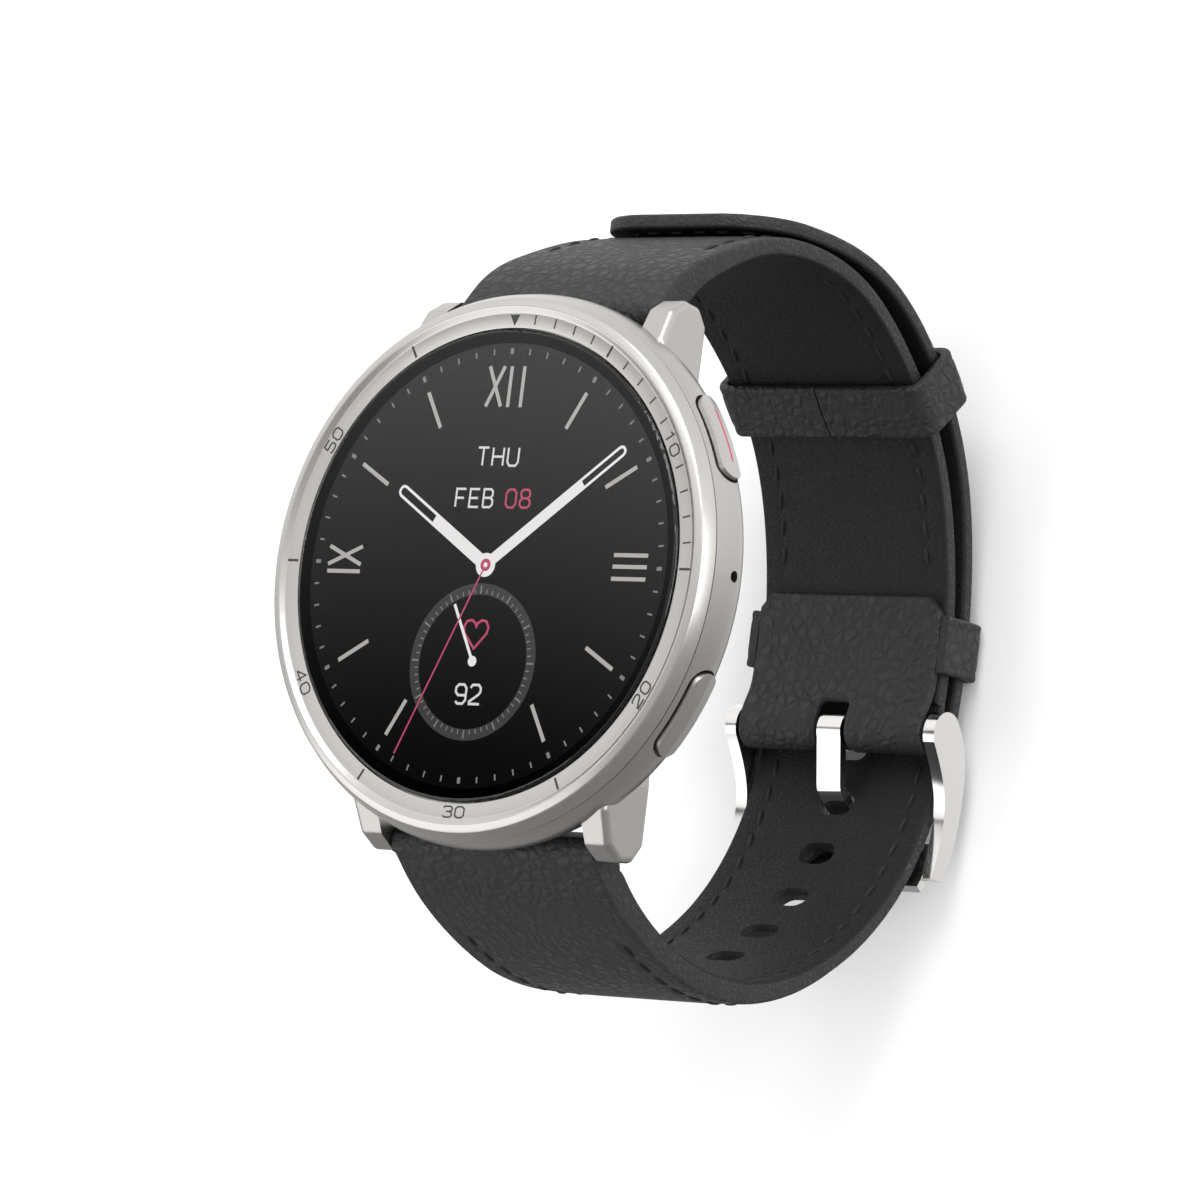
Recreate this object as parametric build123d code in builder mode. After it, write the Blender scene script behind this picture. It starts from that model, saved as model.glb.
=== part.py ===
"""Round smartwatch, lying face up with its strap buckled into a loop.

Frame: +X is 3 o'clock, +Y is 12 o'clock and +Z points out of the dial. The dial's axis is the
Z axis, and the origin lies on the surface that the closed loop stands on. Heights called "z"
below are measured from the flat ring round the glass, so they are negative under it.
Sizes are in millimetres.
"""
from build123d import *
from math import cos, radians, sin
import os

os.makedirs("parts", exist_ok=True)

# --- driving dimensions ---------------------------------------------------------------------
DIAL_Z = 54.7              # flat ring of the bezel above the standing surface

CASE_PROFILE = [(21.6, -1.0), (21.9, -2.0), (22.0, -3.0), (21.8, -4.0), (21.2, -5.0), (20.4, -6.0), (19.4, -7.0)]
CASE_BOTTOM = (18.2, -8.0)
CASE_TOP_Z = -1.0
CAVITY_R = 19.6            # inner wall beside the display
WELL_R = 17.2              # inner wall beside the battery
MOUTH_R = 16.4             # opening that the back cover plugs
GLASS_R = 18.7
GLASS_TOP_Z = 0.2
GLASS_THICK = 0.55
LEDGE_Z = -0.5             # ledge of the bezel that carries the gasket and the glass

LUG_GAP = 20.3             # between the lugs, for a 20 mm strap
LUG_TIP_Y = 22.1
BAR_Y = 20.5               # spring bars at the lugs
BAR_Z = -6.3
BAR_R = 0.75
TUBE_R = 1.6               # strap end wrapped round its spring bar
FIT = 0.05                 # running clearance round pins and stems

PUSHER_ANGLE = 29.5        # above and below 3 o'clock
PUSHER_Z = -3.0
PUSHER_LENGTH = 7.4
PUSHER_HEIGHT = 2.6
PUSHER_PROUD = 0.4
PUSHER_STEM_R = 0.7
POCKET_FLOOR = 20.4        # distance of the pusher pocket's floor from the dial axis
STEM_BOSS_R = 1.35         # boss inside the wall that carries the pusher stem
MIC_R = 0.45

STRAP_THICK = 1.6
LUG_EXTRA = 1.5            # extra padding of the strap at the lugs
PAD_LENGTH = 14.0          # length over which that padding fades
BODY_EXTRA = 0.7           # further padding of the hole strap, which fades more slowly
BODY_LENGTH = 34.0
TIP_THIN = 0.25            # how much thinner the hole strap is at its tip
LEATHER = 0.8              # outer leather
LINING = 0.5               # soft lining on the wrist side
HALF_AT_LUG = 10.0         # half of the strap's width at the lugs
HALF_AT_BUCKLE = 9.3       # and from the buckle on
TAPER_TOP_Z = -8.0
TAPER_END_Z = -44.0
HOLE_PITCH = 5.0
HOLE_LONG = 3.4
HOLE_WIDE = 2.2
TIP_Z = -18.6              # where the long strap's tip ends

BUCKLE_Y = -5.3            # buckle bar
BUCKLE_Z = -49.3
BUCKLE_BAR_R = 0.75
ROLL_R = 1.75              # leather rolled round the buckle bar
ARM_IN = 9.6
ARM_OUT = 10.7
TONGUE_WIDE = 2.4
TONGUE_THICK = 0.8
KEEPER_THICK = 0.8
KEEPER_LONG = 4.8

# --- planes and small helpers ---------------------------------------------------------------
FRONT = Plane(origin=(0, 0, DIAL_Z), x_dir=(1, 0, 0), z_dir=(0, -1, 0))     # local x is the radius
SIDE = Plane(origin=(0, 0, DIAL_Z), x_dir=(0, 1, 0), z_dir=(1, 0, 0))       # local x is +Y, local y is z
NODES = []


def level(z):
    """Plane parallel to the dial at height z."""
    return Plane.XY.offset(DIAL_Z + z)


def radial(angle, distance, z):
    """Plane across a line that leaves the dial axis at this angle; its z axis points outward."""
    out = Vector(cos(radians(angle)), sin(radians(angle)), 0)
    return Plane(origin=(out.X * distance, out.Y * distance, DIAL_Z + z), x_dir=(-out.Y, out.X, 0), z_dir=out)


def save(part, name):
    """Label a finished piece and write it as its own STEP file."""
    part.label = name
    export_step(part, f"parts/{name}.step")
    NODES.append(name)


def turned(outline):
    """Solid of revolution about the dial axis from (radius, z) points."""
    with BuildPart(mode=Mode.PRIVATE) as solid:
        with BuildSketch(FRONT):
            with BuildLine():
                Polyline(*outline, close=True)
            make_face()
        revolve(axis=Axis.Z)
    return solid.part


def rod(y, z, radius, start, end):
    """Round rod along X."""
    with BuildPart(mode=Mode.PRIVATE) as solid:
        with BuildSketch(SIDE.offset(start)):
            with Locations((y, z)):
                Circle(radius)
        extrude(amount=end - start)
    return solid.part


def block(x_range, y_range, z_range):
    """Upright block between the given limits."""
    with BuildPart(mode=Mode.PRIVATE) as solid:
        with BuildSketch(level(z_range[0])):
            with Locations(((x_range[0] + x_range[1]) / 2, (y_range[0] + y_range[1]) / 2)):
                Rectangle(x_range[1] - x_range[0], y_range[1] - y_range[0])
        extrude(amount=z_range[1] - z_range[0])
    return solid.part


# --- the two strap lines --------------------------------------------------------------------
# Each is the wrist side of a strap, seen along X, from its lug bar to its far end.
SHORT_LINE = Spline((20.5, -7.9), (22.5, -9.0), (25.9, -13.2), (28.6, -19.4), (29.2, -25.8), (27.9, -32.6),
                    (24.1, -38.9), (18.5, -44.5), (10.0, -48.4), (3.0, -49.6), (-4.6, -49.45))
LONG_LINE = Spline((-20.5, -7.9), (-22.1, -9.2), (-25.6, -13.7), (-28.35, -21.4), (-28.5, -28.6), (-25.7, -37.5),
                   (-18.6, -46.3), (-10.9, -50.3), (-3.0, -51.8), (7.4, -51.6), (17.3, -48.8), (25.3, -42.5),
                   (29.7, -35.2), (31.0, -25.5), (30.8, TIP_Z + 0.2))
SHORT_END = SHORT_LINE.length
LONG_END = LONG_LINE.length
RIBBON_POINTS = 24


def lifted(line, s, lift):
    """Point at length s along a strap line, lifted away from the wrist."""
    at = s / line.length
    point = line.position_at(at)
    along = line.tangent_at(at)
    away = Vector(-along.Y, along.X) if line is SHORT_LINE else Vector(along.Y, -along.X)
    return (point.X + away.X * lift, point.Y + away.Y * lift)


def thickness(line, s):
    """Strap thickness at length s from the lug: padded at first, then even."""
    thick = STRAP_THICK + LUG_EXTRA * max(0.0, 1 - s / PAD_LENGTH) ** 2
    if line is LONG_LINE:
        thick += BODY_EXTRA * max(0.0, 1 - (s / BODY_LENGTH) ** 2) * min(1.0, s / PAD_LENGTH)
        thick -= TIP_THIN * s / LONG_END
    return thick


def ribbon(line, start, end, low, high, half_width):
    """Layer of a strap between two lifts, which are functions of the length along the line."""
    steps = [start + (end - start) * i / RIBBON_POINTS for i in range(RIBBON_POINTS + 1)]
    under = [lifted(line, s, low(line, s)) for s in steps]
    over = [lifted(line, s, high(line, s)) for s in reversed(steps)]
    with BuildPart(mode=Mode.PRIVATE) as layer:
        with BuildSketch(SIDE):
            with BuildLine():
                Spline(*under)
                Line(under[-1], over[0])
                Spline(*over)
                Line(over[-1], under[0])
            make_face()
        extrude(amount=half_width, both=True)
    return layer.part


def length_at(line, y, lowest=0.0):
    """Length along a strap line of its last point with this y, searched from a given length."""
    steps = [lowest + (line.length - lowest) * i / 4000 for i in range(4001)]
    return min(steps, key=lambda s: abs(line.position_at(s / line.length).X - y))


PATCH_START = length_at(SHORT_LINE, 6.2, 40)
TONGUE_HOLE = length_at(LONG_LINE, -11.25, 40)
PAST_BUCKLE = length_at(LONG_LINE, -3.0, 40)


def tapered(half_lug, half_end):
    """Keeps what lies within the strap's tapering width."""
    with BuildPart(mode=Mode.PRIVATE) as keep:
        with BuildSketch(FRONT.offset(-60)):
            with BuildLine():
                Polyline((-half_lug, 5), (half_lug, 5), (half_lug, TAPER_TOP_Z), (half_end, TAPER_END_Z),
                         (half_end, -60), (-half_end, -60), (-half_end, TAPER_END_Z),
                         (-half_lug, TAPER_TOP_Z), close=True)
            make_face()
        extrude(amount=120)
    return keep.part


WIDTH = tapered(HALF_AT_LUG, HALF_AT_BUCKLE)

# --- case -----------------------------------------------------------------------------------
cavity = turned([(0, -0.9), (CAVITY_R, -0.9), (CAVITY_R, -4.4), (WELL_R, -5.6), (WELL_R, -7.0),
                 (MOUTH_R, -7.0), (MOUTH_R, -8.1), (0, -8.1)])
SCREW_CIRCLE = 16.0
BOSS_R = 1.3


def pill_through(angle, length, height, start, end):
    """Pill-shaped bar that points along a radius of the dial."""
    with BuildPart(mode=Mode.PRIVATE) as bar:
        with BuildSketch(radial(angle, start, PUSHER_Z)):
            SlotOverall(length, height)
        extrude(amount=end - start)
    return bar.part


def round_through(angle, radius, start, end, z=PUSHER_Z):
    """Round bar that points along a radius of the dial."""
    with BuildPart(mode=Mode.PRIVATE) as bar:
        with BuildSketch(radial(angle, start, z)):
            Circle(radius)
        extrude(amount=end - start)
    return bar.part


with BuildPart(mode=Mode.PRIVATE) as lug:
    with BuildSketch(SIDE.offset(LUG_GAP / 2)):
        with BuildLine():
            Polyline((14.0, -2.4), (18.4, -2.6), (21.0, -3.9), (LUG_TIP_Y, -5.6), (LUG_TIP_Y - 0.2, -7.4),
                     (20.4, -8.4), (14.0, -7.6), close=True)
        make_face()
        fillet(vertices().sort_by(Axis.X)[-5:], 0.7)
    extrude(amount=4.0)
    with BuildSketch(level(-12)):
        with BuildLine():
            Polyline((LUG_GAP / 2, 13.0), (LUG_GAP / 2, 22.6), (12.3, 22.6), (12.9, 16.0), (12.9, 13.0), close=True)
        make_face()
        fillet(vertices().sort_by(Axis.Y)[-1], 0.9)
    extrude(amount=12, mode=Mode.INTERSECT)
    outer_edges = edges().filter_by(lambda e: e.center().X > 11.6 and e.center().Y > 16.5)
    fillet(outer_edges, 0.6)

with BuildPart() as case_middle:
    with BuildSketch(FRONT):
        with BuildLine():
            Line((0, CASE_TOP_Z), CASE_PROFILE[0])
            Spline(*CASE_PROFILE)
            Line(CASE_PROFILE[-1], CASE_BOTTOM)
            Line(CASE_BOTTOM, (0, CASE_BOTTOM[1]))
            Line((0, CASE_BOTTOM[1]), (0, CASE_TOP_Z))
        make_face()
    revolve(axis=Axis.Z)
    add(lug.part)
    add(lug.part.mirror(Plane.YZ))
    add(lug.part.mirror(Plane.XZ))
    add(lug.part.mirror(Plane.XZ).mirror(Plane.YZ))
    add(cavity, mode=Mode.SUBTRACT)
    for angle in (PUSHER_ANGLE, -PUSHER_ANGLE):
        add(round_through(angle, STEM_BOSS_R, 18.6, 20.1))
        add(pill_through(angle, PUSHER_LENGTH + 0.4, PUSHER_HEIGHT + 0.4, POCKET_FLOOR, 24), mode=Mode.SUBTRACT)
        add(round_through(angle, PUSHER_STEM_R + FIT, 17, 24), mode=Mode.SUBTRACT)
    add(round_through(0, MIC_R, 18, 24), mode=Mode.SUBTRACT)
    for side in (1, -1):
        add(rod(side * BAR_Y, BAR_Z, TUBE_R + 0.3, -LUG_GAP / 2, LUG_GAP / 2), mode=Mode.SUBTRACT)
        add(rod(side * BAR_Y, BAR_Z, 0.45, -11.6, 11.6), mode=Mode.SUBTRACT)
    with BuildSketch(level(-8.0)):
        with PolarLocations(SCREW_CIRCLE, 4, start_angle=45):
            Circle(BOSS_R)
    extrude(amount=2.0)
    with BuildSketch(level(-8.0)):
        with PolarLocations(SCREW_CIRCLE, 4, start_angle=45):
            Circle(0.45)
    extrude(amount=1.6, mode=Mode.SUBTRACT)
save(case_middle.part, "case_middle")

with BuildPart() as bezel:
    with BuildSketch(FRONT):
        with BuildLine():
            Polyline((18.1, CASE_TOP_Z), (21.6, CASE_TOP_Z), (21.1, 0.14), (20.95, 0.22), (20.5, 0.36), (20.35, 0.3),
                     (20.0, 0.06), (18.78, 0.0), (18.78, LEDGE_Z), (18.1, LEDGE_Z), close=True)
        make_face()
    revolve(axis=Axis.Z)
save(bezel.part, "bezel")

with BuildPart() as cover_glass:
    with BuildSketch(level(GLASS_TOP_Z - GLASS_THICK)):
        Circle(GLASS_R)
    extrude(amount=GLASS_THICK)
    fillet(cover_glass.edges().sort_by(Axis.Z)[-1], 0.3)
save(cover_glass.part, "cover_glass")

save(turned([(18.15, LEDGE_Z), (18.65, LEDGE_Z), (18.65, -0.35), (18.15, -0.35)]), "glass_gasket")
save(turned([(0, -0.37), (18.05, -0.37), (18.05, -1.3), (0, -1.3)]), "display_panel")

with BuildPart() as display_bracket:
    with BuildSketch(level(-1.85)):
        Circle(17.4)
        with PolarLocations(11, 4, start_angle=45):
            Circle(3.2, mode=Mode.SUBTRACT)
        SlotOverall(12, 5, mode=Mode.SUBTRACT)
    extrude(amount=0.5)
save(display_bracket.part, "display_bracket")

# --- electronics ----------------------------------------------------------------------------
BOARD_R = 16.3
with BuildPart() as main_board:
    with BuildSketch(level(-3.2)):
        Circle(BOARD_R)
        with PolarLocations(BOARD_R, 2, start_angle=90):
            Rectangle(1.6, 6, mode=Mode.SUBTRACT)
        with PolarLocations(13.5, 4, start_angle=45):
            Circle(0.7, mode=Mode.SUBTRACT)
    extrude(amount=0.8)
save(main_board.part, "main_board")

with BuildPart() as board_shields:
    with BuildSketch(level(-4.3)):
        with Locations((-6.5, 5)):
            Rectangle(9, 10)
        with Locations((5.5, 5)):
            Rectangle(11, 8)
        with Locations((0, -6)):
            Rectangle(14, 7)
    extrude(amount=1.1)
save(board_shields.part, "board_shields")

with BuildPart() as battery:
    with BuildSketch(level(-7.0)):
        with Locations((0, 1)):
            RectangleRounded(21, 19, 3)
    extrude(amount=2.6)
    fillet(battery.edges().filter_by(Plane.XY), 0.6)
save(battery.part, "battery")

with BuildPart() as haptic_motor:
    with BuildSketch(level(-6.4)):
        with Locations((0, -12.4)):
            RectangleRounded(10, 4.4, 0.8)
    extrude(amount=2.6)
save(haptic_motor.part, "haptic_motor")

with BuildPart() as speaker:
    with BuildSketch(level(-6.2)):
        with Locations((-13.6, 0)):
            RectangleRounded(4.4, 10, 1)
    extrude(amount=2.6)
save(speaker.part, "speaker")

save(block((14.2, 16.2), (-1.5, 1.5), (-4.25, -3.2)), "microphone")

with BuildPart() as sensor_board:
    with BuildSketch(level(-8.1)):
        Circle(8.4)
    extrude(amount=0.6)
    with BuildSketch(level(-8.6)):
        with PolarLocations(4.6, 4):
            Rectangle(1.8, 1.8)
        Circle(1.4)
    extrude(amount=0.5)
save(sensor_board.part, "sensor_board")

# --- back -----------------------------------------------------------------------------------
SENSOR_R = 9.0
DOME_RISE = 0.9
DOME_R = (SENSOR_R ** 2 + DOME_RISE ** 2) / (2 * DOME_RISE)
COVER_FLANGE_Z = -8.3
with BuildPart() as back_cover:
    add(turned([(0, -7.2), (MOUTH_R - 0.05, -7.2), (MOUTH_R - 0.05, COVER_FLANGE_Z), (18.0, COVER_FLANGE_Z),
                (17.7, -8.7), (16.2, -9.4), (14.8, -9.7), (0, -9.7)]))
    add(turned([(0, -7.1), (15.6, -7.1), (15.6, -8.2), (13.6, -8.8), (8.6, -8.8), (8.6, -9.8), (0, -9.8)]),
        mode=Mode.SUBTRACT)
    add(turned([(0, -9.2), (SENSOR_R + 0.03, -9.2), (SENSOR_R + 0.03, -9.8), (0, -9.8)]), mode=Mode.SUBTRACT)
    with BuildSketch(level(-8.0)):
        with PolarLocations(SCREW_CIRCLE, 4, start_angle=45):
            Circle(BOSS_R + 0.1)
    extrude(amount=1.0, mode=Mode.SUBTRACT)
    with BuildSketch(level(-10)):
        with PolarLocations(SCREW_CIRCLE, 4, start_angle=45):
            Circle(0.55)
        with Locations((-1.7, -12), (1.7, -12)):
            Circle(0.9)
    extrude(amount=3.0, mode=Mode.SUBTRACT)
    with BuildSketch(level(-10)):
        with PolarLocations(SCREW_CIRCLE, 4, start_angle=45):
            Circle(0.95)
    extrude(amount=1.0, mode=Mode.SUBTRACT)
save(back_cover.part, "back_cover")

with BuildPart() as sensor_glass:
    with BuildSketch(FRONT):
        with BuildLine():
            Line((0, -9.2), (SENSOR_R, -9.2))
            Line((SENSOR_R, -9.2), (SENSOR_R, -9.7))
            RadiusArc((SENSOR_R, -9.7), (0, -9.7 - DOME_RISE), DOME_R)
            Line((0, -9.7 - DOME_RISE), (0, -9.2))
        make_face()
    revolve(axis=Axis.Z)
save(sensor_glass.part, "sensor_glass")

with BuildPart() as back_gasket:
    add(turned([(16.45, COVER_FLANGE_Z), (17.6, COVER_FLANGE_Z), (17.6, -8.0), (16.45, -8.0)]))
    with BuildSketch(level(-9)):
        with PolarLocations(SCREW_CIRCLE, 4, start_angle=45):
            Circle(BOSS_R + 0.1)
    extrude(amount=2, mode=Mode.SUBTRACT)
save(back_gasket.part, "back_gasket")

with BuildPart() as back_screws:
    with BuildSketch(level(-9.45)):
        with PolarLocations(SCREW_CIRCLE, 4, start_angle=45):
            Circle(0.85)
    extrude(amount=0.43)
    with BuildSketch(level(-9.1)):
        with PolarLocations(SCREW_CIRCLE, 4, start_angle=45):
            Circle(0.42)
    extrude(amount=2.3)
    with BuildSketch(level(-9.45)):
        with PolarLocations(SCREW_CIRCLE, 4, start_angle=45):
            Rectangle(1.0, 0.2)
            Rectangle(0.2, 1.0)
    extrude(amount=0.2, mode=Mode.SUBTRACT)
save(back_screws.part, "back_screws")

with BuildPart() as charging_pins:
    with BuildSketch(level(-9.72)):
        with Locations((-1.7, -12), (1.7, -12)):
            Circle(0.88)
    extrude(amount=1.6)
save(charging_pins.part, "charging_pins")

# --- pushers --------------------------------------------------------------------------------
STEM_IN = 18.15            # inner end of a pusher's stem
CAP_IN = 20.9              # underside of its cap
SEAL_AT = (19.2, 19.7)
CLIP_AT = (18.25, 18.45)
GROOVE_R = 0.5

shell = turned([(0, -0.6)] + [(r + PUSHER_PROUD, z) for r, z in CASE_PROFILE] + [(0, -7.0)])
for place, angle in (("upper", PUSHER_ANGLE), ("lower", -PUSHER_ANGLE)):
    with BuildPart() as pusher:
        add(pill_through(angle, PUSHER_LENGTH, PUSHER_HEIGHT, CAP_IN, 24))
        add(shell, mode=Mode.INTERSECT)
        add(round_through(angle, PUSHER_STEM_R, STEM_IN, CAP_IN))
        for near, far in (SEAL_AT, CLIP_AT):
            with BuildSketch(radial(angle, near, PUSHER_Z)):
                Circle(PUSHER_STEM_R + 0.1)
                Circle(GROOVE_R, mode=Mode.SUBTRACT)
            extrude(amount=far - near, mode=Mode.SUBTRACT)
    save(pusher.part, f"{place}_pusher")
    for name, (near, far), outer in (("seal", SEAL_AT, PUSHER_STEM_R + 0.03), ("clip", CLIP_AT, 1.3)):
        with BuildPart() as ring:
            with BuildSketch(radial(angle, near, PUSHER_Z)):
                Circle(outer)
                Circle(GROOVE_R, mode=Mode.SUBTRACT)
            extrude(amount=far - near)
        save(ring.part, f"{place}_pusher_{name}")
    with BuildPart() as switch:
        with BuildSketch(radial(angle, 16.5, PUSHER_Z)):
            Rectangle(4.4, 2.0)
        extrude(amount=0.8)
        with BuildSketch(radial(angle, 17.3, PUSHER_Z)):
            Circle(0.9)
        extrude(amount=0.35)
    save(switch.part, f"{place}_switch")

# --- spring bars at the lugs ----------------------------------------------------------------
BAR_HALF = 9.9
TIP_R = 0.4
LEVER_X = (-7.2, -6.4)     # thumb lever that draws the tip in
for place, side in (("upper", 1), ("lower", -1)):
    y = side * BAR_Y
    with BuildPart() as spring_bar:
        add(rod(y, BAR_Z, BAR_R, -BAR_HALF, BAR_HALF))
        add(rod(y, BAR_Z, TIP_R, BAR_HALF, BAR_HALF + 1.2))
        add(rod(y, BAR_Z, TIP_R + FIT, -BAR_HALF - 1, -5.0), mode=Mode.SUBTRACT)
        add(block((LEVER_X[0] - 0.2, LEVER_X[1] + 1.2), (y - 0.45, y + 0.45), (BAR_Z - 2, BAR_Z)), mode=Mode.SUBTRACT)
    save(spring_bar.part, f"{place}_spring_bar")
    with BuildPart() as release:
        add(rod(y, BAR_Z, TIP_R, -BAR_HALF - 1.2, LEVER_X[1]))
        add(block(LEVER_X, (y - 0.35, y + 0.35), (BAR_Z - TUBE_R - 0.3, BAR_Z)))
    save(release.part, f"{place}_release_tip")

# --- strap, buckle side ---------------------------------------------------------------------
PLY_GAP = 0.02             # glue line between the layers


def top(line, s):
    """Lift of the strap's outer face."""
    return thickness(line, s)


def under_leather(line, s):
    """Lift of the outer leather's inner face."""
    return thickness(line, s) - LEATHER


def under_glue(line, s):
    """Lift of the padding's outer face."""
    return thickness(line, s) - LEATHER - PLY_GAP


def over_glue(line, s):
    """Lift of the padding's wrist-side face."""
    return LINING + PLY_GAP


def over_lining(line, s):
    """Lift of the lining's outer face."""
    return LINING


def bottom(line, s):
    """Lift of the strap's wrist-side face."""
    return 0.0


def over_patch(line, s):
    """Lift of the leather folded back over the lining."""
    return -LEATHER




def end_tube(side):
    """Leather wrapped round a lug's spring bar, before its hole is cut."""
    return rod(side * BAR_Y, BAR_Z, TUBE_R, -HALF_AT_LUG, HALF_AT_LUG)


def lug_cuts(side):
    """Hole for the spring bar and window for its release lever."""
    hole = rod(side * BAR_Y, BAR_Z, BAR_R + FIT, -12, 12)
    window = block((LEVER_X[0] - 0.5, LEVER_X[1] + 1.6), (side * BAR_Y - 0.8, side * BAR_Y + 0.8), (BAR_Z - 4, BAR_Z))
    return hole + window


def buckle_cuts():
    """Hole for the buckle bar and slot for the tongue."""
    hole = rod(BUCKLE_Y, BUCKLE_Z, BUCKLE_BAR_R + FIT, -12, 12)
    slot = block((-1.55, 1.55), (BUCKLE_Y - 3, -2.9), (BUCKLE_Z - 2.4, BUCKLE_Z + 3))
    return hole + slot


LAYER_START = 1.2          # where lining and padding begin, clear of the tube
LINING_END = SHORT_END - 1.0
with BuildPart() as short_strap_leather:
    add(ribbon(SHORT_LINE, 0.0, SHORT_END, under_leather, top, 12))
    add(ribbon(SHORT_LINE, PATCH_START, SHORT_END, over_patch, bottom, 12))
    add(WIDTH, mode=Mode.INTERSECT)
    add(end_tube(1))
    add(rod(BUCKLE_Y, BUCKLE_Z, ROLL_R, -HALF_AT_BUCKLE, HALF_AT_BUCKLE))
    add(lug_cuts(1), mode=Mode.SUBTRACT)
    add(buckle_cuts(), mode=Mode.SUBTRACT)
save(short_strap_leather.part, "short_strap_leather")

with BuildPart() as short_strap_lining:
    add(ribbon(SHORT_LINE, LAYER_START, LINING_END, bottom, over_lining, 12))
    add(WIDTH, mode=Mode.INTERSECT)
    add(end_tube(1), mode=Mode.SUBTRACT)
    add(rod(BUCKLE_Y, BUCKLE_Z, ROLL_R, -12, 12), mode=Mode.SUBTRACT)
save(short_strap_lining.part, "short_strap_lining")

with BuildPart() as short_strap_padding:
    add(ribbon(SHORT_LINE, LAYER_START, LINING_END, over_glue, under_glue, 12))
    add(tapered(HALF_AT_LUG - 0.4, HALF_AT_BUCKLE - 0.4), mode=Mode.INTERSECT)
    add(end_tube(1), mode=Mode.SUBTRACT)
    add(rod(BUCKLE_Y, BUCKLE_Z, ROLL_R, -12, 12), mode=Mode.SUBTRACT)
save(short_strap_padding.part, "short_strap_padding")

# --- strap, hole side -----------------------------------------------------------------------
HOLE_COUNT_TO_LUG = 4      # adjustment holes beside the one in use, towards the lug
HOLE_COUNT_TO_TIP = 3


def strap_holes():
    """Pill-shaped adjustment holes, each square to the strap."""
    cutters = None
    for number in range(-HOLE_COUNT_TO_LUG, HOLE_COUNT_TO_TIP + 1):
        at = (TONGUE_HOLE + number * HOLE_PITCH) / LONG_LINE.length
        point = LONG_LINE.position_at(at)
        along = LONG_LINE.tangent_at(at)
        plane = Plane(origin=(0, point.X, DIAL_Z + point.Y), x_dir=(1, 0, 0), z_dir=(0, along.Y, -along.X))
        with BuildPart(mode=Mode.PRIVATE) as cutter:
            with BuildSketch(plane.offset(-2.5)):
                SlotOverall(HOLE_LONG, HOLE_WIDE)
            extrude(amount=5)
        cutters = cutter.part if cutters is None else cutters + cutter.part
    return cutters


def long_layer(low, high, start, inset=0.0):
    """One layer of the long strap: tapering up to the buckle, then even up to its rounded tip."""
    first = ribbon(LONG_LINE, start, PAST_BUCKLE, low, high, 12) & tapered(HALF_AT_LUG - inset, HALF_AT_BUCKLE - inset)
    half = HALF_AT_BUCKLE - inset
    second = ribbon(LONG_LINE, PAST_BUCKLE, LONG_END, low, high, half)
    with BuildPart(mode=Mode.PRIVATE) as tip:
        with BuildSketch(FRONT.offset(-60)):
            with Locations((0, TIP_Z - inset - 30)):
                RectangleRounded(2 * half, 60, 5.5)
            with Locations((0, -50)):
                Rectangle(2 * half, 40)
        extrude(amount=120)
    return first + (second & tip.part)


HOLES = strap_holes()
with BuildPart() as long_strap_leather:
    add(long_layer(under_leather, top, 0.0))
    add(end_tube(-1))
    add(lug_cuts(-1), mode=Mode.SUBTRACT)
    add(HOLES, mode=Mode.SUBTRACT)
save(long_strap_leather.part, "long_strap_leather")

with BuildPart() as long_strap_lining:
    add(long_layer(bottom, over_lining, LAYER_START))
    add(end_tube(-1), mode=Mode.SUBTRACT)
    add(HOLES, mode=Mode.SUBTRACT)
save(long_strap_lining.part, "long_strap_lining")

with BuildPart() as long_strap_padding:
    add(long_layer(over_glue, under_glue, LAYER_START, 0.4))
    add(end_tube(-1), mode=Mode.SUBTRACT)
    add(HOLES, mode=Mode.SUBTRACT)
save(long_strap_padding.part, "long_strap_padding")

# --- keepers --------------------------------------------------------------------------------
FIXED_Y = 2.2              # middle of the fixed keeper
with BuildPart() as fixed_keeper:
    with BuildSketch(FRONT.offset(-FIXED_Y - KEEPER_LONG / 2)):
        half = HALF_AT_BUCKLE + 0.02
        with BuildLine():
            Polyline((-half, -48.9), (-half, -DIAL_Z + KEEPER_THICK), (half, -DIAL_Z + KEEPER_THICK), (half, -48.9),
                     (half + KEEPER_THICK, -48.9), (half + KEEPER_THICK, -DIAL_Z), (-half - KEEPER_THICK, -DIAL_Z),
                     (-half - KEEPER_THICK, -48.9), close=True)
        make_face()
        fillet(vertices().group_by(Axis.Y)[0], KEEPER_THICK)
    extrude(amount=KEEPER_LONG)
save(fixed_keeper.part, "fixed_keeper")

FREE_AT = length_at(SHORT_LINE, 20.9, 40)
free_low = Vector(*lifted(SHORT_LINE, FREE_AT, -0.35))
free_out = Vector(*lifted(SHORT_LINE, FREE_AT, 1.0)) - Vector(*lifted(SHORT_LINE, FREE_AT, 0.0))
FREE_STACK = 5.1           # room inside the free keeper for the two straps
FREE_HALF = HALF_AT_BUCKLE + 0.3
free_plane = Plane(origin=(0, free_low.X, DIAL_Z + free_low.Y), x_dir=(1, 0, 0), z_dir=(0, -free_out.Y, free_out.X))
with BuildPart() as free_keeper:
    with BuildSketch(free_plane.offset(-KEEPER_LONG / 2)):
        with Locations((0, FREE_STACK / 2)):
            RectangleRounded(2 * (FREE_HALF + KEEPER_THICK), FREE_STACK + 2 * KEEPER_THICK, 1.0)
            RectangleRounded(2 * FREE_HALF, FREE_STACK, 0.4, mode=Mode.SUBTRACT)
    extrude(amount=KEEPER_LONG)
save(free_keeper.part, "free_keeper")

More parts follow.
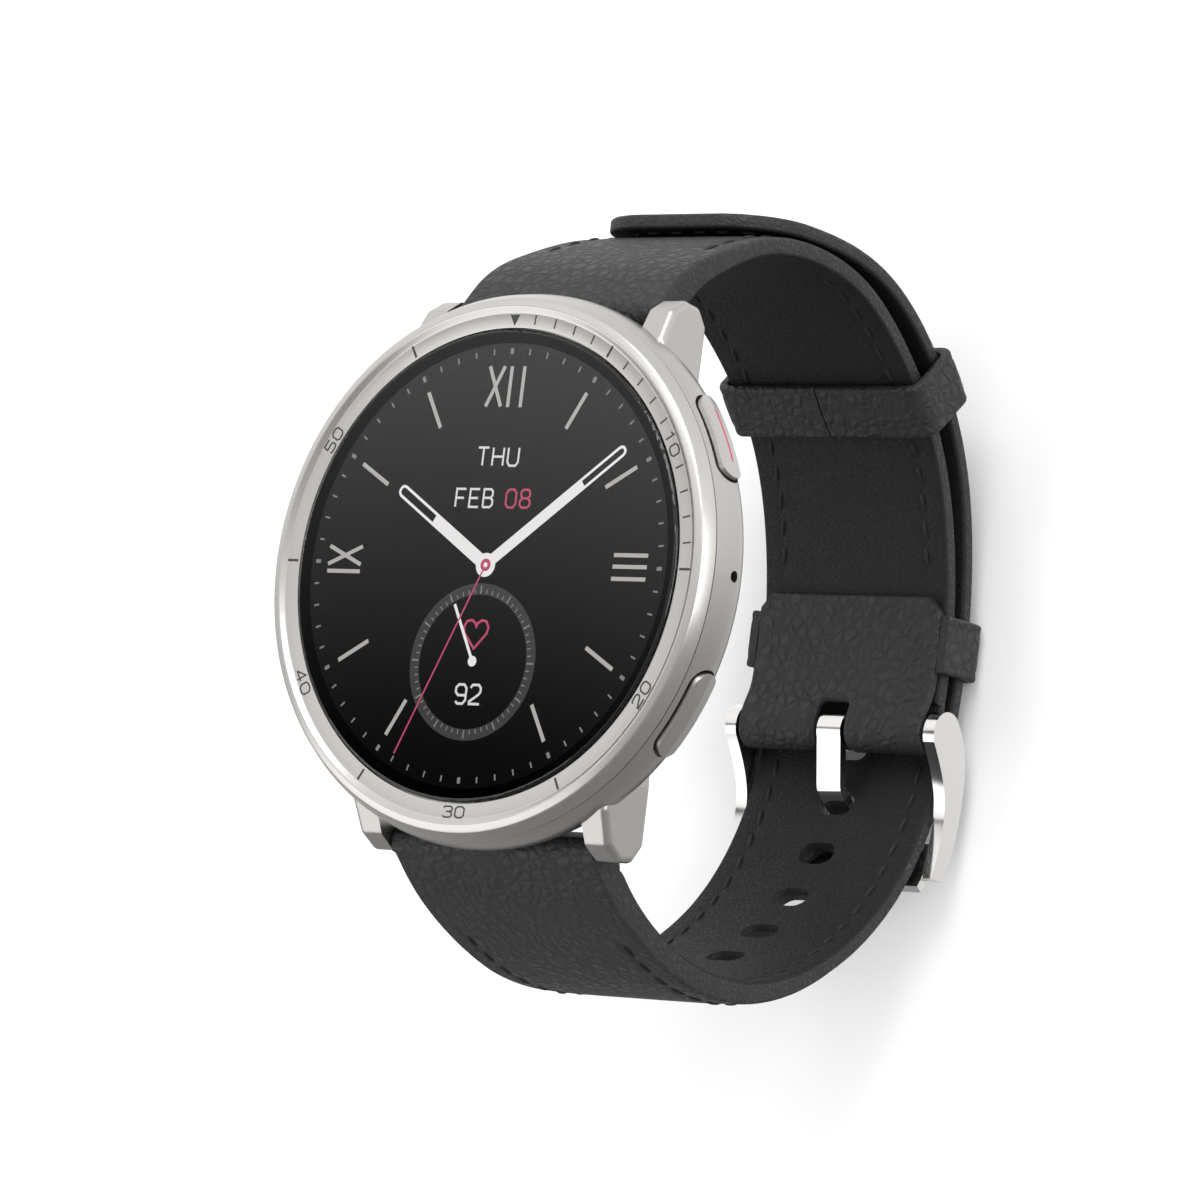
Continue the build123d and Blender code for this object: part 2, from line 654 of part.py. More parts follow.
# --- buckle ---------------------------------------------------------------------------------
CROSSBAR_GAP = 0.35
CROSSBAR_THICK = 0.8
cross_start = length_at(LONG_LINE, -16.9, 40)
cross_end = length_at(LONG_LINE, -13.4, 40)
ARM_BOTTOM = [(-4.3, -51.3), (-6.5, -52.5), (-8.9, -52.9), (-12.4, -52.75), (-15.2, -52.2), (-17.3, -51.1)]
ARM_TOP = [(-17.2, -49.7), (-13.6, -50.5), (-10.6, -50.4), (-8.3, -49.4), (-6.1, -47.9)]



def over_gap(line, s):
    """Lift of the crossbar's face towards the strap."""
    return STRAP_THICK + CROSSBAR_GAP


def over_crossbar(line, s):
    """Lift of the crossbar's outer face."""
    return STRAP_THICK + CROSSBAR_GAP + CROSSBAR_THICK


with BuildPart() as buckle_frame:
    for start in (ARM_IN, -ARM_OUT):
        with BuildSketch(SIDE.offset(start)):
            with BuildLine():
                Spline(*ARM_BOTTOM)
                Line(ARM_BOTTOM[-1], ARM_TOP[0])
                Spline(*ARM_TOP)
                ThreePointArc(ARM_TOP[-1], (-3.6, -48.7), ARM_BOTTOM[0])
            make_face()
        extrude(amount=ARM_OUT - ARM_IN)
    add(ribbon(LONG_LINE, cross_start, cross_end, over_gap, over_crossbar, ARM_IN + 0.2))
    add(rod(BUCKLE_Y, BUCKLE_Z, 0.45, -ARM_OUT + 0.4, ARM_OUT - 0.4), mode=Mode.SUBTRACT)
save(buckle_frame.part, "buckle_frame")

with BuildPart() as buckle_bar:
    add(rod(BUCKLE_Y, BUCKLE_Z, BUCKLE_BAR_R, -ARM_IN + 0.05, ARM_IN - 0.05))
    add(rod(BUCKLE_Y, BUCKLE_Z, 0.43, -ARM_OUT + 0.5, ARM_OUT - 0.5))
save(buckle_bar.part, "buckle_bar")

EYE_R = BUCKLE_BAR_R + FIT + TONGUE_THICK
TONGUE_PATH = [(-5.0, BUCKLE_Z + EYE_R - TONGUE_THICK / 2), (-10.2, -49.1), (-13.5, -53.4), (-17.8, -51.7)]
with BuildPart() as buckle_tongue:
    with BuildSketch(SIDE.offset(-TONGUE_WIDE / 2)):
        with BuildLine() as tongue_line:
            FilletPolyline(*TONGUE_PATH, radius=1.1)
        trace(tongue_line.line, line_width=TONGUE_THICK)
        with Locations((BUCKLE_Y, BUCKLE_Z)):
            Circle(EYE_R)
            Circle(BUCKLE_BAR_R + FIT, mode=Mode.SUBTRACT)
    extrude(amount=TONGUE_WIDE)
save(buckle_tongue.part, "buckle_tongue")

print(len(NODES), "nodes", "short", round(SHORT_END, 2), "long", round(LONG_END, 2))
print("free keeper origin", free_plane.origin, "out", free_out)
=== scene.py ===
# %% [markdown]
# # A round smartwatch on a leather strap
# The watch stands on its closed strap, the way it does on a shop table. The metal case, glass,
# pushers and buckle come from the CAD model, which is the fixed frame of this scene. Leather,
# stitching, the printed ring and the picture on the display are made here, piece by piece.
# %% Load the frame
import math
import bmesh
import bpy
import numpy as np
from mathutils import Matrix, Vector


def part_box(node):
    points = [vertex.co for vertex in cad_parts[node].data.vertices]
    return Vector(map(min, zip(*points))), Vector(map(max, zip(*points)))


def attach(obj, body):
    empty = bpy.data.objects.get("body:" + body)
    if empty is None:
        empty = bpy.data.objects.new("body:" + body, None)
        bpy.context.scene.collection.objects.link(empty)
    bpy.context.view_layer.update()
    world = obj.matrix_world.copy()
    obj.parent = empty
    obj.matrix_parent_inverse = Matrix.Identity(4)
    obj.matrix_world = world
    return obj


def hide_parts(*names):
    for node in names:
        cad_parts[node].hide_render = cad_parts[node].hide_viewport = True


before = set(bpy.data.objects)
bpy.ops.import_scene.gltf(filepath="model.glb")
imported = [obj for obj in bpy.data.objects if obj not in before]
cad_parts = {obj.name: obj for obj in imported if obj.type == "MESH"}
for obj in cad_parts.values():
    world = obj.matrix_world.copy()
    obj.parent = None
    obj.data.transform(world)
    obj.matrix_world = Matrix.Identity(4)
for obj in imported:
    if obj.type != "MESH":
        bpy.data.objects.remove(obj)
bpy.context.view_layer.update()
print("CAD nodes", len(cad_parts))

# %% [markdown]
# Blender works in metres here, but a watch is drawn in millimetres. Every place below is given
# in millimetres from the middle of the dial, with x towards 3 o'clock, y towards 12 o'clock and
# z out of the glass. One function turns such a place into the frame's metres.
# %% Places in millimetres
MM = 0.001
GLASS_PROUD = 0.2
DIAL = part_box("cover_glass")[1][2] / MM - GLASS_PROUD


def place(x, y, z):
    """A point in millimetres from the dial's middle, as a point of the frame in metres."""
    return Vector((x * MM, y * MM, (z + DIAL) * MM))


print("dial height mm", round(DIAL, 3))

# %% [markdown]
# The camera looks down on the dial from beyond 3 o'clock, a little below it, with a long lens, so
# the far side of the strap loop shows past the case. Its axes are given as three directions.
# %% Camera
CAMERA_RIGHT = (0.7908135, 0.12142823, -0.59989099)
CAMERA_UP = (-0.02128511, 0.98498572, 0.17131866)
CAMERA_BACK = (0.61168698, -0.12271236, 0.78152461)
lens = bpy.data.cameras.new("camera")
lens.lens = 201.15
lens.sensor_width = 36.0
lens.clip_start = 0.01
camera = bpy.data.objects.new("camera", lens)
bpy.context.scene.collection.objects.link(camera)
turn = Matrix((CAMERA_RIGHT, CAMERA_UP, CAMERA_BACK)).transposed().to_4x4()
camera.matrix_world = Matrix.Translation(place(326.07, -65.60, 401.61)) @ turn
bpy.context.scene.camera = camera
print("camera at", [round(v, 4) for v in camera.location])

# %% [markdown]
# Materials, the world and the shared effects are all made of nodes. Two helpers keep that short:
# one adds a node with its settings, and one joins an output of a node to an input of another.
# %% Node helpers
def add_node(tree, kind, values=None, **settings):
    """A shader node with its settings, and values for its inputs by name or number."""
    node = tree.nodes.new("ShaderNode" + kind)
    for key, value in settings.items():
        setattr(node, key, value)
    for key, value in (values or {}).items():
        node.inputs[key].default_value = value
    return node


def wire(tree, *links):
    """Joins nodes; each link is (node, output, node, input), with sockets by name or number."""
    for source, output, target, socket in links:
        tree.links.new(source.outputs[output], target.inputs[socket])


print("node helpers ready")

# %% [markdown]
# The floor is a plain pale sheet. The world is an even white for everything that scatters light.
# For mirror-like rays it is a studio instead: bright above and towards 12 o'clock, dark towards
# 6 o'clock, and with a black flag low on the left, as a photographer would hang one. Polished
# metal and glass look flat without such dark shapes to reflect. The floor stays out of mirror
# rays, so that the case's lower side shows the studio's shading and not a white sheet.
# %% Floor and studio
def link_object(name, data):
    """Adds an object for a mesh or light to the scene."""
    made = bpy.data.objects.new(name, data)
    bpy.context.scene.collection.objects.link(made)
    return made


def soft_light(name, at, size, power):
    """A square soft box at a place in millimetres, aimed at the middle of the loop."""
    light = bpy.data.lights.new(name, "AREA")
    light.size = size
    light.energy = power
    box = link_object(name, light)
    box.location = place(*at)
    box.rotation_euler = (box.location - place(*LOOP_MIDDLE)).to_track_quat("Z", "Y").to_euler()
    box.visible_camera = False


LOOP_MIDDLE = (0, 0, -20)
SKY_STOPS = ((0.0, 0.28), (0.30, 0.42), (0.48, 0.66), (0.60, 1.0), (0.80, 1.15), (1.0, 0.95))
FLAG_DIRECTION = (-0.63, 0.02, 0.775)
FLAG_EDGE = (0.07, 0.17)


def studio_world():
    """An even white for scattered light and a shaded studio for reflections."""
    world = bpy.data.worlds.new("studio")
    world.use_nodes = True
    tree = world.node_tree
    tree.nodes.clear()
    out = add_node(tree, "OutputWorld")
    even = add_node(tree, "Background", {"Color": (1, 1, 1, 1), "Strength": 1.0})
    shaded = add_node(tree, "Background")
    where = add_node(tree, "TexCoord")
    split = add_node(tree, "SeparateXYZ")
    half = add_node(tree, "Math", {1: 0.5, 2: 0.5}, operation="MULTIPLY_ADD")
    ramp = add_node(tree, "ValToRGB")
    stops = ramp.color_ramp.elements
    while len(stops) < len(SKY_STOPS):
        stops.new(0.5)
    for stop, (at, value) in zip(stops, SKY_STOPS):
        stop.position = at
        stop.color = (value, value, value, 1)
    away = add_node(tree, "VectorMath", {1: FLAG_DIRECTION}, operation="DISTANCE")
    flag = add_node(tree, "MapRange", {"From Min": FLAG_EDGE[0], "From Max": FLAG_EDGE[1]},
                    interpolation_type="SMOOTHSTEP")
    dim = add_node(tree, "VectorMath", operation="MULTIPLY")
    path = add_node(tree, "LightPath")
    mix = add_node(tree, "MixShader")
    wire(tree, (where, "Generated", split, 0), (split, "Y", half, 0), (half, 0, ramp, 0),
         (where, "Generated", away, 0), (away, "Value", flag, "Value"), (ramp, "Color", dim, 0),
         (flag, "Result", dim, 1), (dim, 0, shaded, "Color"), (path, "Is Glossy Ray", mix, 0),
         (even, 0, mix, 1), (shaded, 0, mix, 2), (mix, 0, out, "Surface"))
    bpy.context.scene.world = world


studio_world()
soft_light("key_light", (120, 420, 420), 0.35, 1.7)
soft_light("side_light", (480, 60, 240), 0.3, 0.7)
soft_light("fill_light", (-350, -250, 350), 0.5, 0.9)
floor_mesh = bpy.data.meshes.new("floor")
FLOOR_HALF = 1.5
floor_corners = [(x * FLOOR_HALF, y * FLOOR_HALF, 0) for x, y in ((-1, -1), (1, -1), (1, 1), (-1, 1))]
floor_mesh.from_pydata(floor_corners, [], [(0, 1, 2, 3)])
floor = link_object("floor", floor_mesh)
floor.visible_glossy = False
bpy.context.scene.view_settings.view_transform = "Standard"
print("lights", len(bpy.data.lights))

# %% [markdown]
# Several finishes share an effect: fine circular scratches, soft smudges, and the pebbled
# grain of leather. Each effect is a node group that puts out plain values and normals, so it can
# be placed in any material with its own numbers. The group never holds a shader.
# %% Shader groups
FLOAT, VECTOR = "NodeSocketFloat", "NodeSocketVector"


def node_group(name, inputs, outputs):
    """An empty shader group with float inputs {name: value} and outputs {name: socket type}."""
    group = bpy.data.node_groups.new(name, "ShaderNodeTree")
    for key, value in inputs.items():
        socket = group.interface.new_socket(key, in_out="INPUT", socket_type=FLOAT)
        socket.default_value = value
    for key, kind in outputs.items():
        group.interface.new_socket(key, in_out="OUTPUT", socket_type=kind)
    return group, group.nodes.new("NodeGroupInput"), group.nodes.new("NodeGroupOutput")


def millimetres(tree):
    """A node that gives the object's own coordinates counted in millimetres."""
    where = add_node(tree, "TexCoord")
    scale = add_node(tree, "VectorMath", {1: (1000, 1000, 1000)}, operation="MULTIPLY")
    wire(tree, (where, "Object", scale, 0))
    return scale


def make_smudges():
    """Soft blotches of handling, as a mask."""
    group, given, out = node_group("smudges", {"Size": 6.0}, {"Blotch": FLOAT})
    at = millimetres(group)
    scale = add_node(group, "Math", {0: 1.0}, operation="DIVIDE")
    blotch = add_node(group, "TexNoise", {"Detail": 4.0, "Roughness": 0.6})
    wire(group, (given, "Size", scale, 1), (at, 0, blotch, "Vector"), (scale, 0, blotch, "Scale"),
         (blotch, "Fac", out, "Blotch"))
    return group


def make_brushing():
    """Fine lines that run round the dial's axis, as left by a spinning brush."""
    group, given, out = node_group("brushing", {"Density": 16.0, "Depth": 0.15}, {"Normal": VECTOR})
    at = millimetres(group)
    split = add_node(group, "SeparateXYZ")
    flat = add_node(group, "CombineXYZ")
    radius = add_node(group, "VectorMath", operation="LENGTH")
    angle = add_node(group, "Math", operation="ARCTAN2")
    polar = add_node(group, "CombineXYZ")
    factor = add_node(group, "CombineXYZ", {"Z": 6.0})
    dense = add_node(group, "VectorMath", operation="MULTIPLY")
    noise = add_node(group, "TexNoise", {"Detail": 3.0, "Scale": 1.0})
    bump = add_node(group, "Bump", {"Distance": 0.00002})
    wire(group, (at, 0, split, 0), (split, "X", flat, "X"), (split, "Y", flat, "Y"),
         (flat, 0, radius, 0), (split, "Y", angle, 0), (split, "X", angle, 1),
         (radius, "Value", polar, "X"), (split, "Z", polar, "Y"), (angle, 0, polar, "Z"),
         (given, "Density", factor, "X"), (given, "Density", factor, "Y"), (polar, 0, dense, 0),
         (factor, 0, dense, 1), (dense, 0, noise, "Vector"), (given, "Depth", bump, "Strength"),
         (noise, "Fac", bump, "Height"), (bump, "Normal", out, "Normal"))
    return group


def make_leather_grain():
    """Pebbles with creases between them, deeper and shallower with slow wrinkles."""
    group, given, out = node_group("leather_grain", {"Pebble": 0.55, "Depth": 0.5},
                                   {"Crease": FLOAT, "Tone": FLOAT, "Normal": VECTOR})
    at = millimetres(group)
    warp = add_node(group, "TexNoise", {"Scale": 0.8, "Detail": 2.0})
    spread = add_node(group, "VectorMath", {1: (0.7, 0.7, 0.7)}, operation="MULTIPLY")
    moved = add_node(group, "VectorMath", operation="ADD")
    scale = add_node(group, "Math", {0: 1.0}, operation="DIVIDE")
    cells = add_node(group, "TexVoronoi", feature="DISTANCE_TO_EDGE")
    crease = add_node(group, "MapRange", {1: 0.0, 2: 0.28}, clamp=True)
    wrinkle = add_node(group, "TexNoise", {"Scale": 0.55, "Detail": 3.0, "Distortion": 1.2})
    deep = add_node(group, "MapRange", {1: 0.35, 2: 0.65, 3: 0.35, 4: 1.0}, clamp=True)
    folds = add_node(group, "Math", operation="MULTIPLY")
    tone = add_node(group, "TexNoise", {"Scale": 0.35, "Detail": 5.0, "Roughness": 0.65})
    pores = add_node(group, "TexNoise", {"Scale": 7.0, "Detail": 2.0})
    height = add_node(group, "Math", {1: 0.35}, operation="MULTIPLY_ADD")
    bump = add_node(group, "Bump", {"Distance": 0.00028})
    wire(group, (at, 0, warp, "Vector"), (warp, "Color", spread, 0), (at, 0, moved, 0),
         (spread, 0, moved, 1), (given, "Pebble", scale, 1), (scale, 0, cells, "Scale"),
         (moved, 0, cells, "Vector"), (cells, "Distance", crease, "Value"),
         (at, 0, wrinkle, "Vector"), (wrinkle, "Fac", deep, "Value"), (crease, "Result", folds, 0),
         (deep, "Result", folds, 1), (at, 0, tone, "Vector"), (at, 0, pores, "Vector"),
         (pores, "Fac", height, 0), (folds, 0, height, 2), (height, 0, bump, "Height"),
         (given, "Depth", bump, "Strength"), (crease, "Result", out, "Crease"),
         (tone, "Fac", out, "Tone"), (bump, "Normal", out, "Normal"))
    return group


SMUDGES = make_smudges()
BRUSHING = make_brushing()
LEATHER_GRAIN = make_leather_grain()
print("groups", [group.name for group in bpy.data.node_groups])

# %% [markdown]
# A material here is always a Principled shader with constants on its own sockets, and only the
# values that vary over the surface are linked from a group. These helpers make that short.
# %% Material helpers
def material(name, colour, roughness, metallic=0.0, **sockets):
    """A material with a Principled shader; sockets are named with underscores for spaces."""
    made = bpy.data.materials.new(name)
    made.use_nodes = True
    shader = made.node_tree.nodes["Principled BSDF"]
    shader.inputs["Base Color"].default_value = (*colour, 1)
    shader.inputs["Roughness"].default_value = roughness
    shader.inputs["Metallic"].default_value = metallic
    for key, value in sockets.items():
        shader.inputs[key.replace("_", " ")].default_value = value
    return made, made.node_tree, shader


def group_node(tree, group, **values):
    """A group placed in a material, with its own numbers."""
    return add_node(tree, "Group", values, node_tree=group)


def vary(tree, source, socket, low, high):
    """Feeds a socket with a value that runs from low to high as the source goes from 0 to 1."""
    spread = add_node(tree, "MapRange", {3: low, 4: high}, clamp=True)
    tree.links.new(source, spread.inputs["Value"])
    tree.links.new(spread.outputs["Result"], socket)


def vary_colour(tree, source, socket, first, second):
    """Feeds a colour socket with a mix of two colours."""
    mix = add_node(tree, "Mix", data_type="RGBA")
    mix.inputs["A"].default_value = (*first, 1)
    mix.inputs["B"].default_value = (*second, 1)
    tree.links.new(source, mix.inputs["Factor"])
    tree.links.new(mix.outputs["Result"], socket)


def grey(value):
    """A neutral colour."""
    return (value, value, value)


def finish(name, colour, second, roughness, spread, metallic=0.0, size=6.0, **sockets):
    """A moulded, painted or metal finish whose tone and gloss drift with handling."""
    made, tree, shader = material(name, colour, roughness, metallic, **sockets)
    blotch = group_node(tree, SMUDGES, Size=size).outputs["Blotch"]
    vary_colour(tree, blotch, shader.inputs["Base Color"], colour, second)
    vary(tree, blotch, shader.inputs["Roughness"], roughness - spread, roughness + spread)
    return made


def brushed(name, colour, second, roughness, density):
    """A metal finish with lines that run round the dial's axis."""
    made = finish(name, colour, second, roughness, 0.03, 1.0)
    tree = made.node_tree
    lines = group_node(tree, BRUSHING, Density=density, Depth=0.04)
    wire(tree, (lines, "Normal", tree.nodes["Principled BSDF"], "Normal"))
    return made


def leather(name, colour, second, roughness, pebble, depth, **sockets):
    """A leather finish with pebbled grain, duller creases and a drifting tone."""
    made, tree, shader = material(name, colour, roughness, **sockets)
    grain = group_node(tree, LEATHER_GRAIN, Pebble=pebble, Depth=depth)
    vary_colour(tree, grain.outputs["Tone"], shader.inputs["Base Color"], colour, second)
    vary(tree, grain.outputs["Crease"], shader.inputs["Roughness"], roughness + 0.16, roughness - 0.05)
    wire(tree, (grain, "Normal", shader, "Normal"))
    return made


def repaint(node, made):
    """Gives a CAD node a material of this scene."""
    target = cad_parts[node]
    if not target.material_slots:
        target.data.materials.append(made)
    for slot in target.material_slots:
        slot.material = made


floor_paint, floor_tree, floor_shader = material("floor_paint", grey(0.93), 0.7, Specular_IOR_Level=0.0)
floor_tone = add_node(floor_tree, "TexNoise", {"Scale": 3.0})
vary_colour(floor_tree, floor_tone.outputs["Fac"], floor_shader.inputs["Base Color"],
            grey(0.92), grey(0.94))
floor_mesh.materials.append(floor_paint)
print("floor painted")

# %% [markdown]
# The case, bezel and pushers are aluminium with a fine satin, warm silver in tone. The buckle is
# polished steel, so its tone comes nearly all from what it mirrors. The glass is clear and clean.
# Inside the case are boards, cans and rubber seals, which get plain working finishes. A table
# then says which CAD piece wears which finish.
# %% Finishes
CASE_METAL = brushed("case_metal", (0.50, 0.485, 0.465), (0.53, 0.515, 0.495), 0.32, 16.0)
BEZEL_METAL = brushed("bezel_metal", (0.56, 0.545, 0.525), (0.59, 0.575, 0.555), 0.27, 22.0)
PUSHER_METAL = finish("pusher_metal", (0.52, 0.505, 0.49), (0.56, 0.545, 0.53), 0.28, 0.03, 1.0)
BUCKLE_METAL = finish("buckle_metal", (0.78, 0.765, 0.75), (0.82, 0.805, 0.79), 0.12, 0.025, 1.0)
BAR_STEEL = finish("bar_steel", grey(0.55), grey(0.62), 0.25, 0.04, 1.0)
CLEAR_GLASS = material("clear_glass", grey(1), 0.0, Transmission_Weight=1.0, IOR=1.5)[0]
SCREEN_BLACK = finish("screen_black", grey(0.002), grey(0.003), 0.5, 0.05, Specular_IOR_Level=0.1)
SENSOR_GLASS = finish("sensor_glass", (0.006, 0.006, 0.008), (0.010, 0.010, 0.013), 0.06, 0.02)
SEAL_RUBBER = finish("seal_rubber", grey(0.004), grey(0.007), 0.6, 0.08, Specular_IOR_Level=0.15)
BLACK_PLASTIC = finish("black_plastic", (0.012, 0.012, 0.013), (0.02, 0.02, 0.021), 0.45, 0.06)
BACK_PLASTIC = finish("back_plastic", (0.018, 0.018, 0.019), (0.028, 0.028, 0.03), 0.42, 0.06, size=2.0)
BOARD = finish("board", (0.01, 0.06, 0.035), (0.015, 0.09, 0.05), 0.4, 0.05, size=1.0)
CAN_METAL = finish("can_metal", grey(0.62), grey(0.70), 0.3, 0.05, 1.0)
BATTERY_FOIL = finish("battery_foil", (0.42, 0.43, 0.45), (0.52, 0.53, 0.55), 0.38, 0.06, 1.0)
GOLD = finish("gold", (0.83, 0.6, 0.25), (0.9, 0.68, 0.32), 0.2, 0.03, 1.0)
PADDING = finish("padding", grey(0.010), grey(0.016), 0.9, 0.05, size=1.0)
STRAP_LEATHER = leather("strap_leather", (0.012, 0.0116, 0.0114), (0.023, 0.0222, 0.0218), 0.50, 1.05,
                        0.55, Specular_IOR_Level=0.45)
LINING_LEATHER = leather("lining_leather", (0.0055, 0.0053, 0.0053), (0.0095, 0.0092, 0.0092), 0.58,
                         0.35, 0.22, Specular_IOR_Level=0.35)
EDGE_PAINT = leather("edge_paint", (0.014, 0.0135, 0.0135), (0.026, 0.025, 0.025), 0.52, 0.6, 0.3,
                     Specular_IOR_Level=0.4)
THREAD = finish("thread", grey(0.005), grey(0.010), 0.6, 0.08, size=0.5)

FINISH_OF = {
    CASE_METAL: ["case_middle", "bezel"], PUSHER_METAL: ["upper_pusher", "lower_pusher"],
    BUCKLE_METAL: ["buckle_frame", "buckle_tongue"],
    BAR_STEEL: ["buckle_bar", "upper_spring_bar", "lower_spring_bar", "upper_release_tip",
                "lower_release_tip", "back_screws", "upper_pusher_clip", "lower_pusher_clip"],
    CLEAR_GLASS: ["cover_glass"], SCREEN_BLACK: ["display_panel"], SENSOR_GLASS: ["sensor_glass"],
    SEAL_RUBBER: ["glass_gasket", "back_gasket", "upper_pusher_seal", "lower_pusher_seal"],
    BLACK_PLASTIC: ["upper_switch", "lower_switch", "speaker", "microphone"],
    BACK_PLASTIC: ["back_cover"], BOARD: ["main_board", "sensor_board"],
    CAN_METAL: ["board_shields", "display_bracket", "haptic_motor"], BATTERY_FOIL: ["battery"],
    GOLD: ["charging_pins"], PADDING: ["short_strap_padding", "long_strap_padding"],
}
for made, names in FINISH_OF.items():
    for name in names:
        repaint(name, made)
print("finishes", len(bpy.data.materials))

# %% [markdown]
# Blender pieces are made from rows of points. One helper turns a finished bmesh into a named
# piece that rides on a body, and another skins neighbouring rows with quads. Smooth shading with
# a sharpness angle keeps real edges crisp and curved faces soft.
# %% Mesh helpers
def make_piece(name, mesh, materials, body="watch", sharp=35, replaced=()):
    """Turns a bmesh into a smooth shaded piece that rides on a body."""
    bmesh.ops.remove_doubles(mesh, verts=mesh.verts, dist=1e-7)
    bmesh.ops.recalc_face_normals(mesh, faces=mesh.faces)
    data = bpy.data.meshes.new(name)
    mesh.to_mesh(data)
    mesh.free()
    for each in materials:
        data.materials.append(each)
    data.polygons.foreach_set("use_smooth", [True] * len(data.polygons))
    data.set_sharp_from_angle(angle=math.radians(sharp))
    piece = link_object(name, data)
    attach(piece, body)
    if replaced:
        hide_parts(*replaced)
    print(name, len(data.polygons), "faces")
    return piece


def skin(mesh, rows, ring=False, loop=False):
    """Quads between rows of points; ring closes each row, loop joins the last row to the first."""
    made = [[mesh.verts.new(point) for point in row] for row in rows]
    for i in range(len(made) - (not loop)):
        first, second = made[i], made[(i + 1) % len(made)]
        for j in range(len(first) - (not ring)):
            k = (j + 1) % len(first)
            mesh.faces.new((first[j], first[k], second[k], second[j]))
    return made


def round_steps(steps):
    """Cosine and sine of even steps round a circle."""
    angles = [2 * math.pi * i / steps for i in range(steps)]
    return [(math.cos(angle), math.sin(angle)) for angle in angles]


print("mesh helpers ready")

# %% [markdown]
# The bezel is a turned ring: a flat printed track, an inner slope and a polished outer chamfer.
# It is lathed here with many segments and tiny radii at its corners, because the chamfer's bright
# and dark reflections show every facet. A turned profile spun about the axis is how it is cut.
# %% Bezel
BEZEL_PROFILE = [(18.1, -1.0), (21.45, -1.0), (21.58, -0.95), (21.62, -0.85), (21.14, 0.08),
                 (21.08, 0.15), (20.98, 0.205), (20.9, 0.235), (20.56, 0.345), (20.5, 0.36),
                 (20.44, 0.352), (20.35, 0.30), (20.06, 0.09), (20.0, 0.06), (19.9, 0.052),
                 (18.84, 0.0), (18.8, -0.012), (18.78, -0.05), (18.78, -0.5), (18.1, -0.5)]
LATHE_STEPS = 360
mesh = bmesh.new()
skin(mesh, [[place(r * cos, r * sin, z) for r, z in BEZEL_PROFILE] for cos, sin in round_steps(LATHE_STEPS)],
     ring=True, loop=True)
make_piece("bezel_ring", mesh, [BEZEL_METAL], sharp=28, replaced=["bezel"])

# %% [markdown]
# Marks and figures are thin strokes. A stroke is a strip of quads along a polyline, with mitred
# corners, laid on a surface whose height is a function of place. The figures are drawn from a
# small table of polylines in a unit box, so that no font file is needed.
# %% Strokes and figures
FIGURES = {
    "0": [[(.25, 0), (.75, 0), (1, .2), (1, .8), (.75, 1), (.25, 1), (0, .8), (0, .2), (.25, 0)]],
    "1": [[(.2, .78), (.55, 1), (.55, 0)]],
    "2": [[(0, .84), (.2, 1), (.8, 1), (1, .84), (1, .64), (.85, .5), (0, .12), (0, 0), (1, 0)]],
    "3": [[(0, .88), (.2, 1), (.8, 1), (1, .86), (1, .65), (.8, .52), (.35, .52)],
          [(.8, .52), (1, .38), (1, .14), (.8, 0), (.2, 0), (0, .12)]],
    "4": [[(.75, 0), (.75, 1), (0, .3), (0, .26), (1, .26)]],
    "5": [[(.95, 1), (.08, 1), (.04, .56), (.8, .56), (1, .42), (1, .14), (.8, 0), (.2, 0), (0, .12)]],
    "8": [[(.25, .52), (.75, .52), (.94, .66), (.94, .88), (.75, 1), (.25, 1), (.06, .88), (.06, .66),
           (.25, .52)],
          [(.25, .52), (.75, .52), (1, .38), (1, .14), (.75, 0), (.25, 0), (0, .14), (0, .38),
           (.25, .52)]],
    "9": [[(.05, .12), (.25, 0), (.75, 0), (1, .18), (1, .82), (.75, 1), (.25, 1), (0, .84), (0, .6),
           (.25, .44), (1, .44)]],
    "T": [[(0, 1), (1, 1)], [(.5, 1), (.5, 0)]],
    "H": [[(0, 0), (0, 1)], [(1, 0), (1, 1)], [(0, .5), (1, .5)]],
    "U": [[(0, 1), (0, .2), (.22, 0), (.78, 0), (1, .2), (1, 1)]],
    "F": [[(1, 1), (0, 1), (0, 0)], [(0, .5), (.85, .5)]],
    "E": [[(1, 1), (0, 1), (0, 0), (1, 0)], [(0, .5), (.88, .5)]],
    "B": [[(0, 0), (0, 1), (.75, 1), (.95, .87), (.95, .65), (.75, .52), (0, .52)],
          [(.75, .52), (1, .38), (1, .14), (.75, 0), (0, 0)]],
    "X": [[(0, 0), (1, 1)], [(0, 1), (1, 0)]],
}


def stroke(mesh, points, width, height):
    """A strip along a polyline of (x, y) in millimetres; height(x, y) gives its z."""
    line = [Vector(p) for p in points]
    closed = (line[0] - line[-1]).length < 1e-6
    if closed:
        line.pop()
    count = len(line)
    spans = count if closed else count - 1
    sides = []
    for i in range(spans):
        along = (line[(i + 1) % count] - line[i]).normalized()
        sides.append(Vector((-along.y, along.x)))
    rows = []
    for i, point in enumerate(line):
        before = sides[(i - 1) % spans] if closed or i > 0 else sides[0]
        after = sides[i % spans] if closed or i < count - 1 else sides[-1]
        mitre = (before + after) / max(0.35, 1 + before.dot(after))
        reach = mitre * width / 2
        rows.append([place(p.x, p.y, height(p.x, p.y)) for p in (point + reach, point - reach)])
    skin(mesh, rows, loop=closed)


def disc(mesh, centre, outer, inner, height, steps=64):
    """A flat ring, or a round spot when inner is 0."""
    rows = []
    for cos, sin in round_steps(steps):
        row = []
        for r in (outer, max(inner, 1e-4)):
            x, y = centre[0] + r * cos, centre[1] + r * sin
            row.append(place(x, y, height(x, y)))
        rows.append(row)
    skin(mesh, rows, loop=True)


def clock(radius, minutes):
    """(x, y) at a radius and a minute of the dial."""
    angle = math.radians(90 - 6 * minutes)
    return (radius * math.cos(angle), radius * math.sin(angle))


